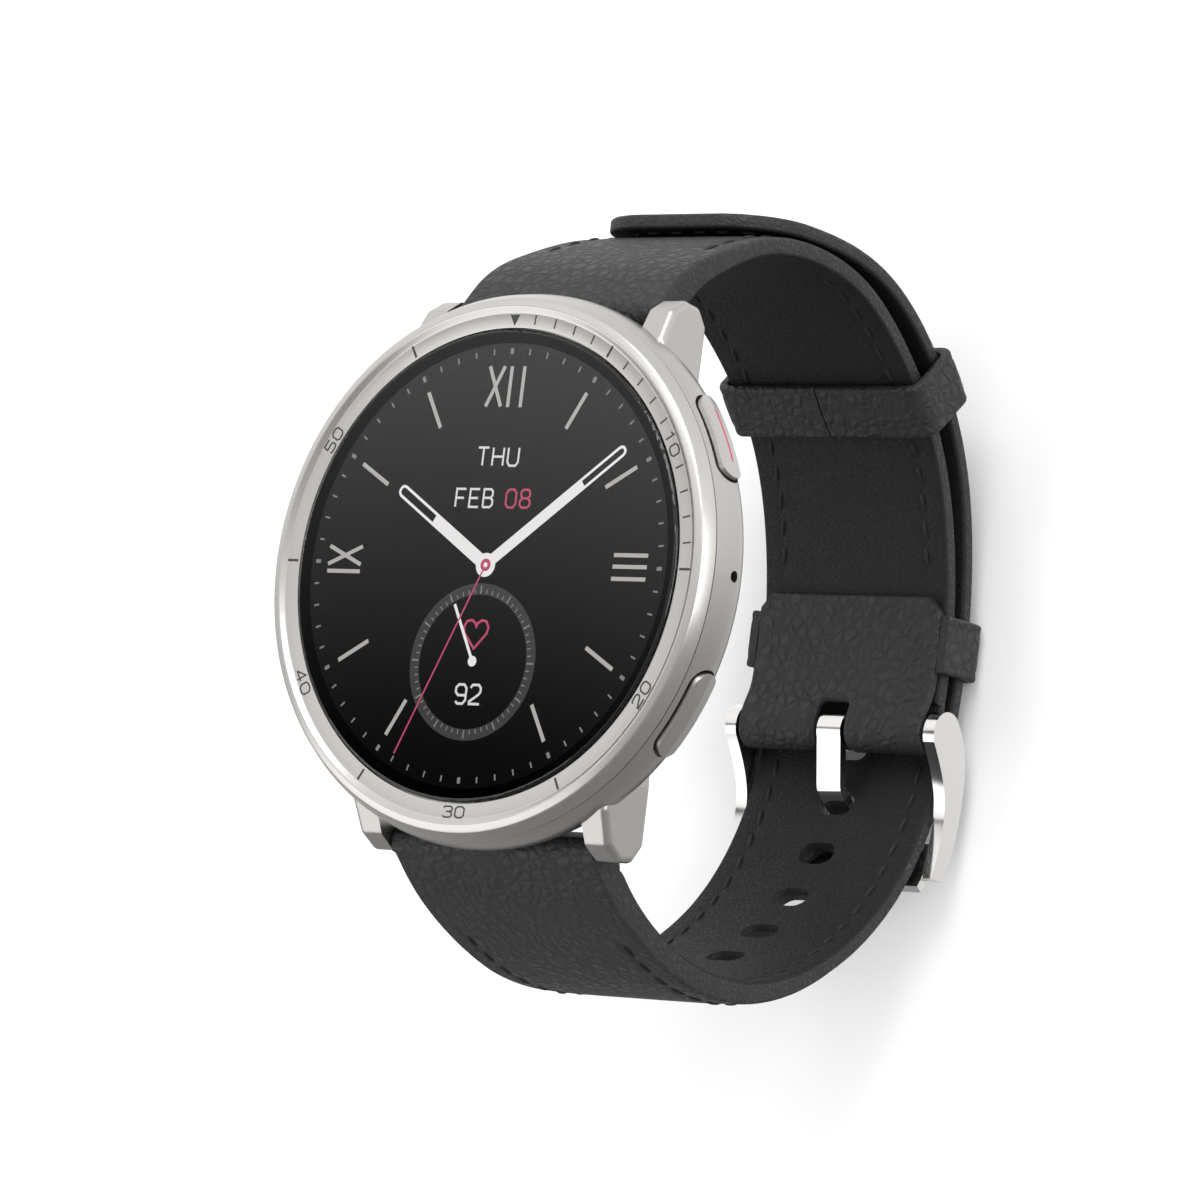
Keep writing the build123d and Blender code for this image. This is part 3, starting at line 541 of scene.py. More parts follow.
def write(mesh, text, centre, width, tall, gap, weight, height, turned=0.0):
    """Figures centred on a place, each width by tall with a gap between, turned by some degrees."""
    total = len(text) * width + (len(text) - 1) * gap
    cos, sin = math.cos(math.radians(turned)), math.sin(math.radians(turned))
    for number, letter in enumerate(text):
        for line in FIGURES[letter]:
            points = []
            for u, v in line:
                x = -total / 2 + number * (width + gap) + u * width
                y = (v - 0.5) * tall
                points.append((centre[0] + x * cos - y * sin, centre[1] + x * sin + y * cos))
            stroke(mesh, points, weight, height)


print("figures", len(FIGURES))

# %% [markdown]
# The bezel's track is printed in black: a mark for each minute of the first quarter, a mark or a
# figure every five minutes after that, and a triangle at the top. The print lies a few hundredths
# of a millimetre above the metal, as real pad printing does.
# %% Bezel print
PRINT_THICK = 0.012
TRACK_INNER, TRACK_OUTER, TRACK_RISE = 18.84, 19.9, 0.052


def on_track(x, y):
    """Height of print on the bezel's gently sloped track."""
    return (math.hypot(x, y) - TRACK_INNER) / (TRACK_OUTER - TRACK_INNER) * TRACK_RISE + PRINT_THICK


BEZEL_INK = finish("bezel_ink", (0.02, 0.019, 0.018), (0.035, 0.034, 0.032), 0.5, 0.05)
mesh = bmesh.new()
for minute in list(range(1, 10)) + list(range(11, 16)) + [25, 35, 45, 55]:
    inner, outer, wide = (19.12, 19.88, 0.13) if minute % 5 else (18.98, 19.98, 0.20)
    stroke(mesh, [clock(inner, minute), clock(outer, minute)], wide, on_track)
for number in (10, 20, 30, 40, 50):
    lean = -6 * number + (0 if number in (10, 50) else 180)
    write(mesh, str(number), clock(19.45, number), 0.86, 0.86, 0.34, 0.13, on_track, lean)
triangle = ((-0.48, 19.82), (0.48, 19.82), (0, 18.95))
mesh.faces.new([mesh.verts.new(place(x, y, on_track(x, y))) for x, y in triangle])
make_piece("bezel_print", mesh, [BEZEL_INK])

# %% [markdown]
# The picture on the display is light, not paint, so its strokes glow. It lies just above the
# panel, under the glass. Each colour is one material and one piece: grey hour marks, a dim minute
# track, the sub-dial's ring, pale texts, pink accents with the second hand, and white hands.
# %% Display picture
PICTURE_Z = -0.361


def glow(name, colour):
    """A lit display colour with the panel's faint unevenness."""
    made, tree, shader = material(name, grey(0.0), 0.5, Specular_IOR_Level=0.0)
    shader.inputs["Emission Strength"].default_value = 1.0
    blotch = group_node(tree, SMUDGES, Size=3.0).outputs["Blotch"]
    dimmer = tuple(0.96 * c for c in colour)
    vary_colour(tree, blotch, shader.inputs["Emission Color"], dimmer, colour)
    return made


def layer(level):
    """A height function for picture layers stacked a thousandth of a millimetre apart."""
    return lambda x, y: PICTURE_Z + 0.0015 * level


BORDER_Z = -0.347
PANEL_R, BORDER_R = 17.6, 18.64
FRIT = finish("frit_ink", grey(0.001), grey(0.002), 0.6, 0.05, Specular_IOR_Level=0.0)
LIT_PANEL = glow("lit_panel", (0.0035, 0.0035, 0.004))
mesh = bmesh.new()
disc(mesh, (0, 0), BORDER_R, PANEL_R, lambda x, y: BORDER_Z, 180)
make_piece("glass_border", mesh, [FRIT])
mesh = bmesh.new()
disc(mesh, (0, 0), PANEL_R, 0.0, layer(0), 180)
make_piece("display_panel_glow", mesh, [LIT_PANEL])
LIT_WHITE = glow("lit_white", (0.87, 0.86, 0.85))
LIT_GREY = glow("lit_grey", (0.47, 0.45, 0.43))
LIT_DIM = glow("lit_dim", (0.24, 0.235, 0.23))
LIT_TEXT = glow("lit_text", (0.74, 0.73, 0.72))
LIT_RING = glow("lit_ring", (0.055, 0.055, 0.057))
LIT_PINK = glow("lit_pink", (0.52, 0.08, 0.16))

mesh = bmesh.new()
for hour in (1, 2, 4, 5, 7, 8, 10, 11):
    stroke(mesh, [clock(12.5, 5 * hour), clock(15.75, 5 * hour)], 0.34, layer(1))
write(mesh, "X", (-1.25, 14.15), 1.5, 3.2, 0.2, 0.32, layer(1))
twelve = [[(x, 12.5), (x, 15.75)] for x in (0.2, 1.45)]
three = [[(12.45, y), (15.75, y)] for y in (1.0, 0.1, -0.85)]
nine = [[(-15.95, y), (-12.6, end_y)] for y, end_y in ((-0.75, -0.75), (-0.2, 1.25), (1.25, -0.2))]
for points in twelve + three + nine:
    stroke(mesh, points, 0.32, layer(1))
make_piece("display_hour_marks", mesh, [LIT_GREY])

mesh = bmesh.new()
for minute in range(60):
    wide = 0.14 if minute % 5 else 0.30
    stroke(mesh, [clock(16.72, minute), clock(17.2, minute)], wide, layer(1))
SUB_CENTRE = (-0.12, -7.65)
for minute in range(60):
    reach, wide = (5.72, 0.09) if minute % 5 else (6.02, 0.13)
    points = [(SUB_CENTRE[0] + x, SUB_CENTRE[1] + y)
              for x, y in (clock(5.38, minute), clock(reach, minute))]
    stroke(mesh, points, wide, layer(2))
make_piece("display_minute_track", mesh, [LIT_DIM])

mesh = bmesh.new()
disc(mesh, SUB_CENTRE, 6.2, 5.3, layer(1))
make_piece("display_rings", mesh, [LIT_RING])

mesh = bmesh.new()
write(mesh, "THU", (-0.1, 8.57), 1.05, 1.42, 0.45, 0.18, layer(2))
write(mesh, "FEB", (-1.95, 5.27), 0.92, 1.42, 0.45, 0.18, layer(2))
write(mesh, "92", (-0.15, -10.2), 1.02, 1.5, 0.4, 0.2, layer(2))
make_piece("display_texts", mesh, [LIT_TEXT])

mesh = bmesh.new()
write(mesh, "08", (2.4, 5.27), 0.98, 1.42, 0.42, 0.18, layer(2))
HALF_HEART = [(0, -1.15), (1.1, 0.05), (1.22, 0.55), (0.95, 1.0), (0.5, 1.08), (0.12, 0.85), (0, 0.6)]
HEART = [(-x, y) for x, y in HALF_HEART] + HALF_HEART[-2::-1]
stroke(mesh, [(x - 0.15, y - 5.45) for x, y in HEART], 0.2, layer(2))
SECOND = 34.05
stroke(mesh, [clock(0.5, SECOND), clock(16.55, SECOND)], 0.15, layer(5))
disc(mesh, (0, 0), 0.5, 0.2, layer(7), 32)
make_piece("display_accents", mesh, [LIT_PINK])


FRAME_WIDE = 0.22


def hand(mesh, minute, reach, slot_start, wide, level):
    """A baton hand: solid from the middle, then a rounded frame round a dark slot."""
    stroke(mesh, [clock(0.6, minute), clock(slot_start + 0.1, minute)], wide, layer(level))
    side = Vector(clock(1.0, minute + 15)) * (wide / 2 - FRAME_WIDE / 2)
    outline = ((slot_start, 1.0), (reach - 0.42, 1.0), (reach - 0.18, 0.75), (reach - 0.08, 0.35))
    right, left = [[Vector(clock(r, minute)) + sign * side * k for r, k in outline] for sign in (1, -1)]
    stroke(mesh, [tuple(p) for p in right + left[::-1] + right[:1]], FRAME_WIDE, layer(level + 0.5))


mesh = bmesh.new()
hand(mesh, 50.35, 11.2, 6.6, 1.05, 3)
hand(mesh, 8.8, 15.45, 10.7, 0.92, 3.2)
SUB_HUB = (-0.14, -7.6)
stroke(mesh, [SUB_HUB, (-2.57, -3.16)], 0.26, layer(3))
disc(mesh, SUB_HUB, 0.42, 0.0, layer(3.4), 32)
disc(mesh, (0, 0), 0.95, 0.0, layer(4.4), 48)
make_piece("display_hands", mesh, [LIT_WHITE])

# %% [markdown]
# A leather strap is a long band that follows a curve. The two curves below run along the wrist
# side, from the spring bars at the lugs down to the buckle and, for the side with holes, on past
# it. A smooth cubic is put through the points, and its length is measured, so that everything on
# the strap can be placed by how far along it lies and how far from its middle.
# %% Strap lines
SHORT_POINTS = [(20.5, -7.9), (22.5, -9.0), (25.9, -13.2), (28.6, -19.4), (29.2, -25.8),
                (27.9, -32.6), (24.1, -38.9), (18.5, -44.5), (10.0, -48.4), (3.0, -49.6),
                (-4.6, -49.45)]
LONG_POINTS = [(-20.5, -7.9), (-22.1, -9.2), (-25.6, -13.7), (-28.35, -21.4), (-28.5, -28.6),
               (-25.7, -37.5), (-18.6, -46.3), (-10.9, -50.3), (-3.0, -51.8), (7.4, -51.6),
               (17.3, -48.8), (25.3, -42.5), (29.7, -35.2), (31.0, -25.5), (30.8, -18.4)]


def distances(points):
    """Length along a row of points, up to each of them."""
    return np.concatenate(([0], np.cumsum(np.linalg.norm(np.diff(points, axis=0), axis=1))))


class StrapLine:
    """A smooth curve through (y, z) points in millimetres, measured along its length."""

    def __init__(self, points, side):
        knots = np.array(points)
        t = distances(knots)
        step = np.diff(t)
        n = len(knots)
        table, right = np.zeros((n, n)), np.zeros((n, 2))
        table[0, 0] = table[-1, -1] = 1
        slope = np.diff(knots, axis=0) / step[:, None]
        for i in range(1, n - 1):
            table[i, i - 1:i + 2] = step[i - 1], 2 * (step[i - 1] + step[i]), step[i]
            right[i] = 6 * (slope[i] - slope[i - 1])
        bend = np.linalg.solve(table, right)
        fine = np.linspace(0, t[-1], 4000)
        k = np.clip(np.searchsorted(t, fine) - 1, 0, n - 2)
        a, b, h = (t[k + 1] - fine)[:, None], (fine - t[k])[:, None], step[k][:, None]
        self.path = ((bend[k] * a ** 3 + bend[k + 1] * b ** 3) / (6 * h)
                     + (knots[k] / h - bend[k] * h / 6) * a
                     + (knots[k + 1] / h - bend[k + 1] * h / 6) * b)
        self.run = distances(self.path)
        self.length = float(self.run[-1])
        self.side = side

    def point(self, s):
        """Place on the curve at length s, as (y, z)."""
        return np.array([np.interp(s, self.run, self.path[:, i]) for i in (0, 1)])

    def at(self, s):
        """Place and outward direction at length s, both as (y, z); straight on past the ends."""
        inside = min(max(s, 0.0), self.length)
        step = self.point(min(inside + 0.2, self.length)) - self.point(max(inside - 0.2, 0))
        along = step / np.linalg.norm(step)
        away = np.array([-along[1], along[0]]) * self.side
        return self.point(inside) + along * (s - inside), away

    def length_near(self, y, low, high):
        """Length along the curve between low and high where it passes y."""
        inside = (self.run >= low) & (self.run <= high)
        return float(self.run[inside][np.argmin(abs(self.path[inside, 0] - y))])


def lifted(line, s, x, lift):
    """The point at length s and width x of a strap, lifted outwards from the wrist side."""
    (y, z), away = line.at(s)
    return place(x, y + away[0] * lift, z + away[1] * lift)


SHORT = StrapLine(SHORT_POINTS, 1)
LONG = StrapLine(LONG_POINTS, -1)
print("strap lengths mm", round(SHORT.length, 2), round(LONG.length, 2))

# %% [markdown]
# The strap is padded at the lugs, where it wraps a spring bar, and thins to an even thickness.
# Its width tapers a little towards the buckle. The same rules give both straps.
# %% Strap sizes
TUBE_R = 1.6
LINING = 0.5
END_HALF = 9.3
CORNER_R = 5.5
EDGE_ROUND = 0.38
STITCH_IN = 2.0
HOLE_PITCH, HOLE_HALF_LONG, HOLE_HALF_WIDE = 5, 1.7, 1.1


def thickness(line, s):
    """Strap thickness at length s."""
    s = max(s, 0.0)
    thick = 1.6 + 1.5 * max(0.0, 1 - s / 14) ** 2
    if line is LONG:
        thick += 0.7 * max(0.0, 1 - (s / 34) ** 2) * min(1.0, s / 14) - 0.25 * s / line.length
    return thick


def half_width(line, s):
    """Half the strap's width at length s, before the tip's corners."""
    if line is LONG and s > 70:
        return END_HALF
    z = line.at(max(s, 0.0))[0][1]
    return 10.0 - 0.7 * min(1.0, max(0.0, (-8 - z) / 36))


def smooth(x, low, high):
    """0 below low, 1 above high and an even blend between."""
    t = min(1.0, max(0.0, (x - low) / (high - low)))
    return t * t * (3 - 2 * t)


def tip_half(line, s, end):
    """Half width at length s with the long strap's rounded tip corners."""
    half = half_width(line, s)
    over = s - (end - CORNER_R)
    if line is LONG and over > 0:
        half -= CORNER_R - math.sqrt(max(0.0, CORNER_R ** 2 - min(over, CORNER_R) ** 2))
    return half


TONGUE_HOLE = LONG.length_near(-11.25, 40, 95)
HOLES = [TONGUE_HOLE + HOLE_PITCH * number for number in range(-4, 4)]
print("holes at mm", [round(s, 1) for s in HOLES])

# %% [markdown]
# The flat pattern of a strap is a grid of length against width. Each punched hole gets a patch of
# its own, whose rings of points run from the grid's square down to the pill-shaped outline, so
# that the hole's rim can be moulded smoothly. Cutting with a boolean would leave ragged shading.
# %% Strap pattern
EDGE_STEPS = (0.0, 0.03, 0.1, 0.2, 0.38, 0.7, 1.15, 1.6, 1.85, 2.0, 2.15, 2.4, 2.9, 3.5)
END_ROWS = (0.38, 0.2, 0.1, 0.03, 0.0)
MIDDLE = 4.0
MIDDLE_COLUMNS = 8
SLOT_COLUMN, SLOT_EDGE = 3, 1.5
ROW_STEP, HOLE_ROW_STEP = 0.6, 0.5
HOLE_SQUARE = 2.5


def columns(half):
    """Places across the strap: close together at the edges and even in the middle."""
    middle = min(MIDDLE, max(0.2, half - EDGE_STEPS[-1] - 0.2))
    inner = [middle * k / MIDDLE_COLUMNS for k in range(MIDDLE_COLUMNS + 1)]
    if half > 8:
        inner[SLOT_COLUMN] = SLOT_EDGE
    outer = [max(half - d, middle + 0.01 * (len(EDGE_STEPS) - i)) for i, d in enumerate(EDGE_STEPS)]
    right = inner[1:] + outer[::-1]
    return [-x for x in right[::-1]] + [0.0] + right


def grid(rows, across, skipped):
    """Points (s, x), faces and point numbers of a grid; skipped(i, j) leaves a face out."""
    points, faces, index = [], [], []
    for s in rows:
        places = across(s)
        index.append(range(len(points), len(points) + len(places)))
        points += [(s, x) for x in places]
    for i in range(len(rows) - 1):
        first, second = index[i], index[i + 1]
        faces += [(first[j], first[j + 1], second[j + 1], second[j]) for j in range(len(first) - 1)
                  if not skipped(i, j)]
    return points, faces, index


def pill_distance(x, s):
    """Distance from a pill-shaped hole's outline, negative inside it."""
    return math.hypot(max(abs(x) - (HOLE_HALF_LONG - HOLE_HALF_WIDE), 0.0), s) - HOLE_HALF_WIDE


def hole_patch(points, faces, loop, centre):
    """Rings of quads from a loop of grid points down to a hole's outline."""
    outline = []
    for index in loop:
        s, x = points[index]
        low, high = 0.0, 1.0
        for _ in range(30):
            t = (low + high) / 2
            if pill_distance(x * t, (s - centre) * t) < 0:
                low = t
            else:
                high = t
        outline.append((centre + (s - centre) * high, x * high))
    previous = loop
    for fraction in (0.62, 0.42, 0.3, 0.2, 0.12, 0.06, 0.02, 0.0):
        ring = []
        for index, (hole_s, hole_x) in zip(loop, outline):
            s, x = points[index]
            ring.append(len(points))
            points.append((hole_s + (s - hole_s) * fraction, hole_x + (x - hole_x) * fraction))
        for j in range(len(loop)):
            k = (j + 1) % len(loop)
            faces.append((previous[j], previous[k], ring[k], ring[j]))
        previous = ring


def strap_pattern(line, start, end, holes, tube, tip):
    """Points (s, x) and faces of a strap's flat pattern."""
    if holes:
        first, last = holes[0] - HOLE_SQUARE, holes[-1] + HOLE_SQUARE
        count = 2 * HOLE_PITCH * len(holes) + 1
        rows = [*np.arange(start, first - 0.3, ROW_STEP),
                *[first + HOLE_ROW_STEP * k for k in range(count)],
                *np.arange(last + ROW_STEP, end, ROW_STEP)]
    else:
        rows = list(np.arange(start, end, ROW_STEP))
    if tube:
        rows = ([-TUBE_R * math.cos(math.pi / 2 * k / 10) for k in range(10)] + [0.0]
                + [s for s in rows if s > 0.3])
    if tip:
        rows = [s for s in rows if s < end - CORNER_R]
        rows += [end - CORNER_R * math.cos(math.pi / 2 * k / 22) for k in range(22)]
    rows = [s for s in rows if s < end - (0.45 if tip else 0.5)] + [end - d for d in END_ROWS]
    spans = []
    for centre in holes:
        first = min(range(len(rows)), key=lambda i: abs(rows[i] - (centre - HOLE_SQUARE)))
        spans.append((first, first + 2 * HOLE_PITCH, centre))
    left = len(EDGE_STEPS)
    right = left + 2 * MIDDLE_COLUMNS
    points, faces, index = grid(
        rows, lambda s: columns(tip_half(line, s, end) if tip else half_width(line, s)),
        lambda i, j: left <= j < right and any(a <= i < b for a, b, _ in spans))
    for a, b, centre in spans:
        loop = [index[a][j] for j in range(left, right)] + [index[i][right] for i in range(a, b)]
        loop += [index[b][j] for j in range(right, left, -1)]
        loop += [index[i][left] for i in range(b, a, -1)]
        hole_patch(points, faces, loop, centre)
    return points, faces


print("columns", len(columns(10)))

# %% [markdown]
# A layer of the strap is the pattern lifted to two heights, with walls along every open edge.
# The outer leather rounds over at its edges and round each hole, dips along the stitching and
# swells softly between the two seams. The walls are painted, so they get the edge finish.
# %% Strap layers
def edge_depth(line, s, x, end, tip):
    """Distance in from the strap's outline."""
    half = half_width(line, s)
    over_s, over_x = s - (end - CORNER_R), abs(x) - (half - CORNER_R)
    if tip and over_s > 0 and over_x > 0:
        return CORNER_R - math.hypot(over_s, over_x)
    return min(half - abs(x), end - s)


def rounded(depth, radius):
    """How far a rounded edge falls at a depth in from it."""
    depth = min(max(depth, 0.0), radius)
    return radius - math.sqrt(max(0.0, radius ** 2 - (radius - depth) ** 2))


def outer_lift(line, s, x, end, tip, holes):
    """Height of the outer leather above the wrist side."""
    depth = edge_depth(line, s, x, end, tip)
    half = half_width(line, s)
    lift = thickness(line, s) - 0.8 * rounded(depth, EDGE_ROUND) - 0.10 * (1 - smooth(depth, 0.3, 2.2))
    seam = smooth(s, 6.5, 8.5) * (1 - smooth(s, end - 0.5, end) * (not tip))
    lift -= 0.13 * seam * math.exp(-((depth - STITCH_IN) / 0.42) ** 2)
    lift += 0.07 * smooth(depth, 2.3, 5.5) * (1 - smooth(s, 0, 30))
    for centre in holes:
        if abs(s - centre) < 3:
            gap = pill_distance(x, s - centre)
            lift += 0.13 * math.exp(-((gap - 0.62) / 0.36) ** 2)
            lift -= 0.05 * math.exp(-((gap - 1.5) / 0.4) ** 2)
            lift -= 0.6 * rounded(gap + 0.001, 0.3) * (gap < 0.3)
    return lift


def layer_solid(line, pattern, high, low):
    """A bmesh of the pattern between two lifts, with walls along its open edges."""
    points, faces = pattern
    mesh = bmesh.new()
    sheets = [[mesh.verts.new(lifted(line, s, x, lift_of(s, x))) for s, x in points]
              for lift_of in (high, low)]
    edges = {}
    for face in faces:
        for sheet in sheets:
            mesh.faces.new([sheet[i] for i in face])
        for a, b in zip(face, face[1:] + face[:1]):
            edges.setdefault(frozenset((a, b)), []).append((a, b))
    for uses in edges.values():
        if len(uses) == 1:
            a, b = uses[0]
            mesh.faces.new((sheets[0][a], sheets[0][b], sheets[1][b], sheets[1][a])).material_index = 1
    return mesh


def strap_outer(name, line, end, holes, tip, node):
    """A strap's outer leather and padded core, from the tube round its spring bar to its end."""
    def chord(s):
        return math.sqrt(max(0.0, TUBE_R ** 2 - s * s))

    def high(s, x):
        if s < 0:
            return TUBE_R + chord(s) * (thickness(line, 0) - TUBE_R) / TUBE_R
        return outer_lift(line, s, x, end if tip else OPEN_END, tip, holes)

    def low(s, x):
        return TUBE_R - chord(s) if s < 0 else (LINING + 0.01) * smooth(s, 1.2, 2.4)

    mesh = layer_solid(line, strap_pattern(line, 0.6, end, holes, True, tip), high, low)
    make_piece(name, mesh, [STRAP_LEATHER, EDGE_PAINT], "watch", 50, [node])


def strap_inner(name, line, end, holes, tip, node):
    """The smooth lining against the wrist, pressed in a little along its seams."""
    def low(s, x):
        depth = min(edge_depth(line, s, x, end, tip), s - LINING_START + 0.001)
        return rounded(depth, 0.25) + 0.07 * math.exp(-((depth - STITCH_IN) / 0.4) ** 2)

    mesh = layer_solid(line, strap_pattern(line, LINING_START, end, holes, False, tip),
                       lambda s, x: LINING, low)
    make_piece(name, mesh, [LINING_LEATHER, EDGE_PAINT], "watch", 50, [node])


OPEN_END = 200
LINING_START = 2.2
LONG_TIP = LONG.length - 0.21
SHORT_END = SHORT.length - 1.9
strap_outer("long_strap_outer", LONG, LONG_TIP, HOLES, True, "long_strap_leather")
strap_inner("long_strap_inner", LONG, LONG_TIP, HOLES, True, "long_strap_lining")
strap_inner("short_strap_inner", SHORT, SHORT_END, (), False, "short_strap_lining")

# %% [markdown]
# At the buckle the short strap's leather rolls round the buckle bar and is folded back inside,
# where it is stitched down as a patch. A slot through the roll lets the tongue swing. The fold is
# a band along its own path, made as the same kind of pattern with the slot left open.
# %% Short strap with its fold
SLOT_HALF, SLOT_CORNER = 1.55, 0.6
ROLL_Y, ROLL_Z, ROLL_R = -5.3, -49.3, 1.35
LEATHER = 0.8
FOLD_HALF = 9.28
PATCH_TOP = 6.2
PATCH_CLIP, PATCH_CLIP_DEEP = 1.3, 1.5


def fold_path():
    """Centre line of the folded leather as (y, z), from under the bar round to the patch's end."""
    path = [(-2.5, -50.64), (-3.6, -50.66)]
    for k in range(13):
        angle = math.radians(-90 - 15 * k)
        path.append((ROLL_Y + ROLL_R * math.cos(angle), ROLL_Z + ROLL_R * math.sin(angle)))
    path += [(-4.2, -48.05), (-3.0, -48.5), (-1.8, -48.95), (-0.4, -49.1)]
    for y in (1.2, 2.8, 4.5, PATCH_TOP):
        (at_y, at_z), away = SHORT.at(SHORT.length_near(y, 40, SHORT.length))
        path.append((at_y - 0.42 * away[0], at_z - 0.42 * away[1]))
    return path


FOLD = StrapLine(fold_path(), 1)
SLOT_TIP = FOLD.length_near(-2.9, 7.0, FOLD.length)


def fold_across(s):
    """Places across the fold at length s, from edge to slot on both sides."""
    half = FOLD_HALF - PATCH_CLIP * max(0.0, (s - (FOLD.length - PATCH_CLIP_DEEP)) / PATCH_CLIP_DEEP)
    over = min(max(s - SLOT_TIP + SLOT_CORNER, 0.0), SLOT_CORNER)
    slot = SLOT_HALF - SLOT_CORNER + math.sqrt(max(0.0, SLOT_CORNER ** 2 - over ** 2))
    right = [slot + (half - EDGE_STEPS[-1] - slot) * k / 9 for k in range(9)]
    right += [half - d for d in EDGE_STEPS[::-1]]
    return [-x for x in right[::-1]] + right


def fold_pattern():
    """The fold's pattern, with the tongue slot open up to a round end and its corners clipped."""
    rows = [*np.arange(0.0, SLOT_TIP - SLOT_CORNER, 0.35)]
    rows += [SLOT_TIP - SLOT_CORNER * math.cos(math.pi / 2 * k / 8) for k in range(9)]
    rows += [*np.arange(SLOT_TIP + 0.4, FOLD.length - 0.5, 0.5)]
    rows += [FOLD.length - d for d in END_ROWS]
    slot_column = len(fold_across(0.0)) // 2 - 1
    return grid(rows, fold_across, lambda i, j: j == slot_column and rows[i] < SLOT_TIP - 1e-6)[:2]


def fold_lift(sign):
    """Lift of one face of the fold, rounded at its edges and round the slot."""
    def lift(s, x):
        depth = min(FOLD_HALF - abs(x), FOLD.length - s)
        inside_slot = s - (SLOT_TIP - SLOT_CORNER)
        over = abs(x) - (SLOT_HALF - SLOT_CORNER)
        gap = (over if inside_slot < 0 else math.hypot(max(over, 0.0), inside_slot)) - SLOT_CORNER
        fall = rounded(depth, 0.25) + 0.8 * rounded(gap, 0.25)
        dip = 0.1 * math.exp(-((depth - STITCH_IN) / 0.42) ** 2) * smooth(s, 9.0, 10.0)
        return sign * (LEATHER / 2 - fall - (dip if sign < 0 else 0))
    return lift


mesh = layer_solid(FOLD, fold_pattern(), fold_lift(1), fold_lift(-1))
make_piece("short_strap_fold", mesh, [STRAP_LEATHER, EDGE_PAINT], replaced=["short_strap_leather"],
           sharp=50)
strap_outer("short_strap_outer", SHORT, SHORT_END, (), False, "short_strap_leather")
print("fold length mm", round(FOLD.length, 2), "slot ends at", round(SLOT_TIP, 2))

# %% [markdown]
# Waxed thread runs two millimetres in from each edge. Each stitch is a short, slightly slanted
# capsule sunk into the seam's groove. Separate stitches are used rather than a texture, so that
# they keep their shape from any side and in close views.
# %% Stitching
STITCH_PITCH, STITCH_LONG, THREAD_R = 2.3, 1.75, 0.17
STITCH_SLANT = 0.12
SEAM_START = 8.0


def capsule(mesh, start, end, out, radius, steps=8):
    """A rounded stitch between two points in metres, bowed a little along out."""
    side = (end - start).normalized().cross(out).normalized()
    rows = []
    for t in (0.0, 0.05, 0.15, 0.32, 0.5, 0.68, 0.85, 0.95, 1.0):
        off = abs(2 * t - 1)
        thick = radius * MM * min(1.0, math.sqrt(max(0.0, 1 - off ** 5)) + 0.02)
        centre = start.lerp(end, t) + out * MM * (0.05 * (1 - off ** 2) - 0.15 * off ** 4)
        rows.append([centre + thick * (cos * side + sin * out) for cos, sin in round_steps(steps)])
    made = skin(mesh, rows, ring=True)
    mesh.faces.new(made[0])
    mesh.faces.new(made[-1])


def seam_places(line, last, tip):
    """Even places (s, x) along both seams, round the tip at last if the strap has one."""
    path = [(s, half_width(line, s) - STITCH_IN) for s in np.arange(SEAM_START, last, 0.5)]
    if tip:
        centre_s, centre_x = last - CORNER_R, END_HALF - CORNER_R
        inner = CORNER_R - STITCH_IN
        path = [(s, x) for s, x in path if s < centre_s]
        path += [(centre_s + inner * math.sin(a), centre_x + inner * math.cos(a))
                 for a in np.linspace(0, math.pi / 2, 9)]
        path += [(last - STITCH_IN, x) for x in np.linspace(centre_x - 0.4, 0.0, 6)]
    path = np.array(path)
    run = distances(path)
    count = int(run[-1] / STITCH_PITCH)
    for number in range(count):
        middle = run[-1] * (number + 0.5) / count
        pair = []
        for way in (-1, 1):
            s, x = [float(np.interp(middle + way * STITCH_LONG / 2, run, path[:, i])) for i in (0, 1)]
            pair.append((s, x + way * STITCH_SLANT))
        for sign in (1, -1):
            yield [(s, sign * x) for s, x in pair]


def sew(name, line, places, lift_of, flip=1.0):
    """Stitches at places (s, x) on a face of a strap."""
    mesh = bmesh.new()
    for pair in places:
        start, end = [lifted(line, s, x, lift_of(s, x)) for s, x in pair]
        outs = [Vector((0, *line.at(s)[1])) * flip for s, x in pair]
        capsule(mesh, start, end, ((outs[0] + outs[1]) / 2).normalized(), THREAD_R)
    make_piece(name, mesh, [THREAD])


def inner_seam(s, x):
    """Height of the stitches on the wrist side."""
    return 0.08


sew("long_strap_stitches", LONG, seam_places(LONG, LONG_TIP, True),
    lambda s, x: outer_lift(LONG, s, x, LONG_TIP, True, ()) + 0.02)
sew("short_strap_stitches", SHORT, seam_places(SHORT, SHORT.length - 5.0, False),
    lambda s, x: outer_lift(SHORT, s, x, OPEN_END, False, ()) + 0.02)
sew("long_strap_inner_stitches", LONG, seam_places(LONG, LONG_TIP, True), inner_seam, -1.0)
sew("short_strap_inner_stitches", SHORT, seam_places(SHORT, SHORT.length - 12.5, False),
    inner_seam, -1.0)
print("stitching done")

# %% [markdown]
# Two leather loops hold the strap's end. A loop is a narrow band swept round a rounded rectangle,
# with its own soft edges. The free loop is butted and sewn on its inner side, where a short gap
# shows. The fixed loop is let into the short strap, so it is an open U below it.
# %% Keepers
KEEPER_LONG = 4.8
KEEPER_HALF_THICK = 0.4
CORNER_STEPS, PATH_STEP = 8, 0.7


def rounded_path(corners, radius):
    """An open path through corners given as (u, v), with each inner corner rounded."""
    points = [Vector(corners[0])]
    for before, corner, after in zip(corners, corners[1:], corners[2:]):
        corner = Vector(corner)
        back, on = (Vector(before) - corner).normalized(), (Vector(after) - corner).normalized()
        start, end = corner + back * radius, corner + on * radius
        middle = start + end - corner
        for k in range(CORNER_STEPS + 1):
            angle = math.pi / 2 * k / CORNER_STEPS
            points.append(middle + (start - middle) * math.cos(angle) + (end - middle) * math.sin(angle))
    return points + [Vector(corners[-1])]


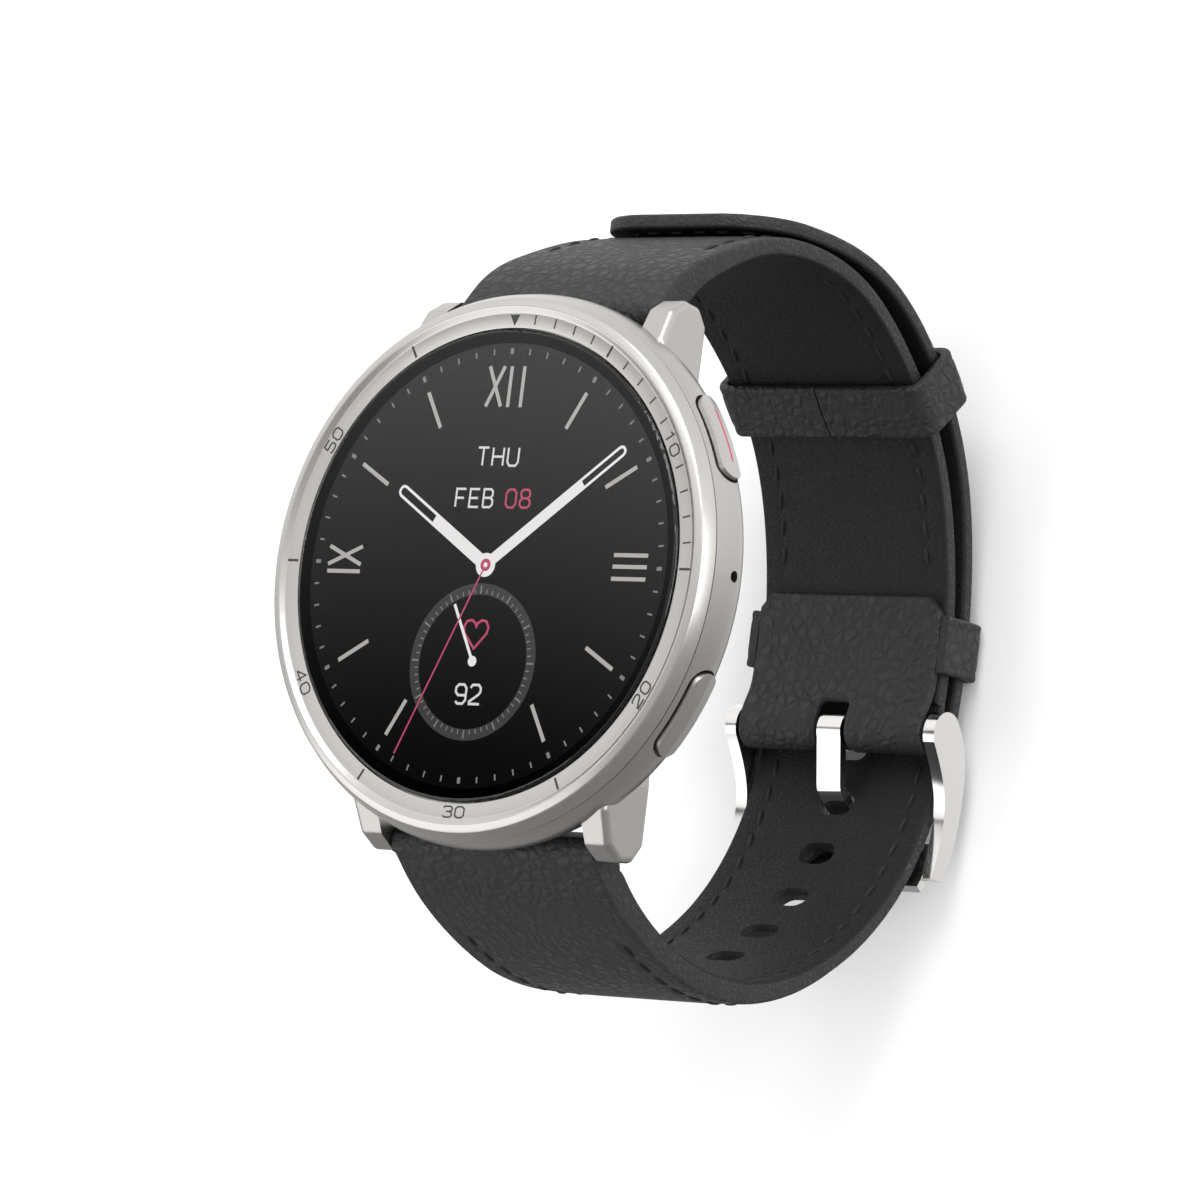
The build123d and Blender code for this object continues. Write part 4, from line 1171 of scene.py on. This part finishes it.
def dense(points):
    """The path with runs longer than PATH_STEP divided."""
    result = [points[0]]
    for point in points[1:]:
        count = max(1, int((point - result[-1]).length / PATH_STEP))
        start = result[-1].copy()
        result += [start.lerp(point, (k + 1) / count) for k in range(count)]
    return result


def loop_band(name, corners, radius, origin, out, along, body, node, bulge):
    """A leather band round a path of (x, height along out), KEEPER_LONG wide along the strap."""
    half, thick, r = KEEPER_LONG / 2, KEEPER_HALF_THICK, 0.22
    side = [(-half, thick - r), (-half, -thick + r), (-half + 0.07, -thick + 0.07), (-half + r, -thick)]
    section = side[1:] + [(t, -thick) for t in (-1.6, -0.8, 0.0, 0.8, 1.6)]
    section += [(-t, n) for t, n in side[:0:-1]]
    section += [(half, thick - r), (half - 0.07, thick - 0.07), (half - r, thick)]
    section += [(t, thick - 0.06 * math.exp(-((abs(t) - 1.6) / 0.25) ** 2)) for t in
                (1.9, 1.6, 1.3, 0.8, 0.0, -0.8, -1.3, -1.6, -1.9)]
    section += [(-half + r, thick), (-half + 0.07, thick - 0.07), side[0]]
    path = dense(rounded_path(corners, radius))[::-1]
    mesh = bmesh.new()
    rows = []
    for i, point in enumerate(path):
        near, far = path[max(i - 1, 0)], path[min(i + 1, len(path) - 1)]
        tangent = (far - near).normalized()
        normal = Vector((tangent.y, -tangent.x))
        row = []
        for t, n in section:
            swell = bulge * (1 - (t / half) ** 2) if n > 0 else 0.0
            spot = point + normal * (n + swell * 0.5)
            row.append(origin + MM * (Vector((spot.x, 0, 0)) + out * spot.y + along * t))
        rows.append(row)
    made = skin(mesh, rows, ring=True)
    for end in (made[0], made[-1]):
        mesh.faces.new(end).material_index = 1
    make_piece(name, mesh, [STRAP_LEATHER, EDGE_PAINT], body, 45, [node])


(free_y, free_z), free_away = SHORT.at(SHORT.length_near(20.9, 40, SHORT.length))
FREE_OUT = Vector((0, free_away[0], free_away[1]))
FREE_ALONG = Vector((0, -free_away[1], free_away[0]))
FREE_WIDE, FREE_DEEP, SEAM_GAP = 10.0, 5.9, 0.08
free_origin = place(0, free_y, free_z) - FREE_OUT * (0.35 + KEEPER_HALF_THICK) * MM
corners = [(-SEAM_GAP, 0), (-FREE_WIDE, 0), (-FREE_WIDE, FREE_DEEP), (FREE_WIDE, FREE_DEEP),
           (FREE_WIDE, 0), (SEAM_GAP, 0)]
loop_band("free_loop", corners, 1.0, free_origin, FREE_OUT, FREE_ALONG, "keeper", "free_keeper", 0.12)
corners = [(-9.72, 0), (-9.72, 5.4), (9.72, 5.4), (9.72, 0)]
loop_band("fixed_loop", corners, 1.2, place(0, 2.2, -48.9), Vector((0, 0, -1)), Vector((0, 1, 0)),
          "watch", "fixed_keeper", 0.0)
print("keepers done")

# %% [markdown]
# The upper pusher carries one thin coloured line, to tell it from the lower one by eye. It is a
# slim strip that follows the pusher's curved face, raised by the thickness of a coat of paint.
# %% Pusher line
PUSHER_FACE, PUSHER_Z = 22.4, -3.0
LINE_START, LINE_SWEEP, LINE_STEPS, LINE_HALF = 35.6, 12.2, 32, 0.10
LINE_PINK = finish("line_pink", (0.40, 0.03, 0.08), (0.46, 0.045, 0.10), 0.4, 0.05)
mesh = bmesh.new()
rows = []
for k in range(LINE_STEPS + 1):
    angle = math.radians(LINE_START - LINE_SWEEP * k / LINE_STEPS)
    end = min(1.0, min(k, LINE_STEPS - k) / 2.0)
    tall = LINE_HALF * math.sqrt(max(0.02, 1 - (1 - end) ** 2))
    rows.append([])
    for proud, height in ((-0.02, -1), (0.02, -0.7), (0.025, 0), (0.02, 0.7), (-0.02, 1)):
        r = PUSHER_FACE + proud
        rows[-1].append(place(r * math.cos(angle), r * math.sin(angle), PUSHER_Z + height * tall))
skin(mesh, rows, ring=True)
make_piece("pusher_line", mesh, [LINE_PINK], body="upper_button")
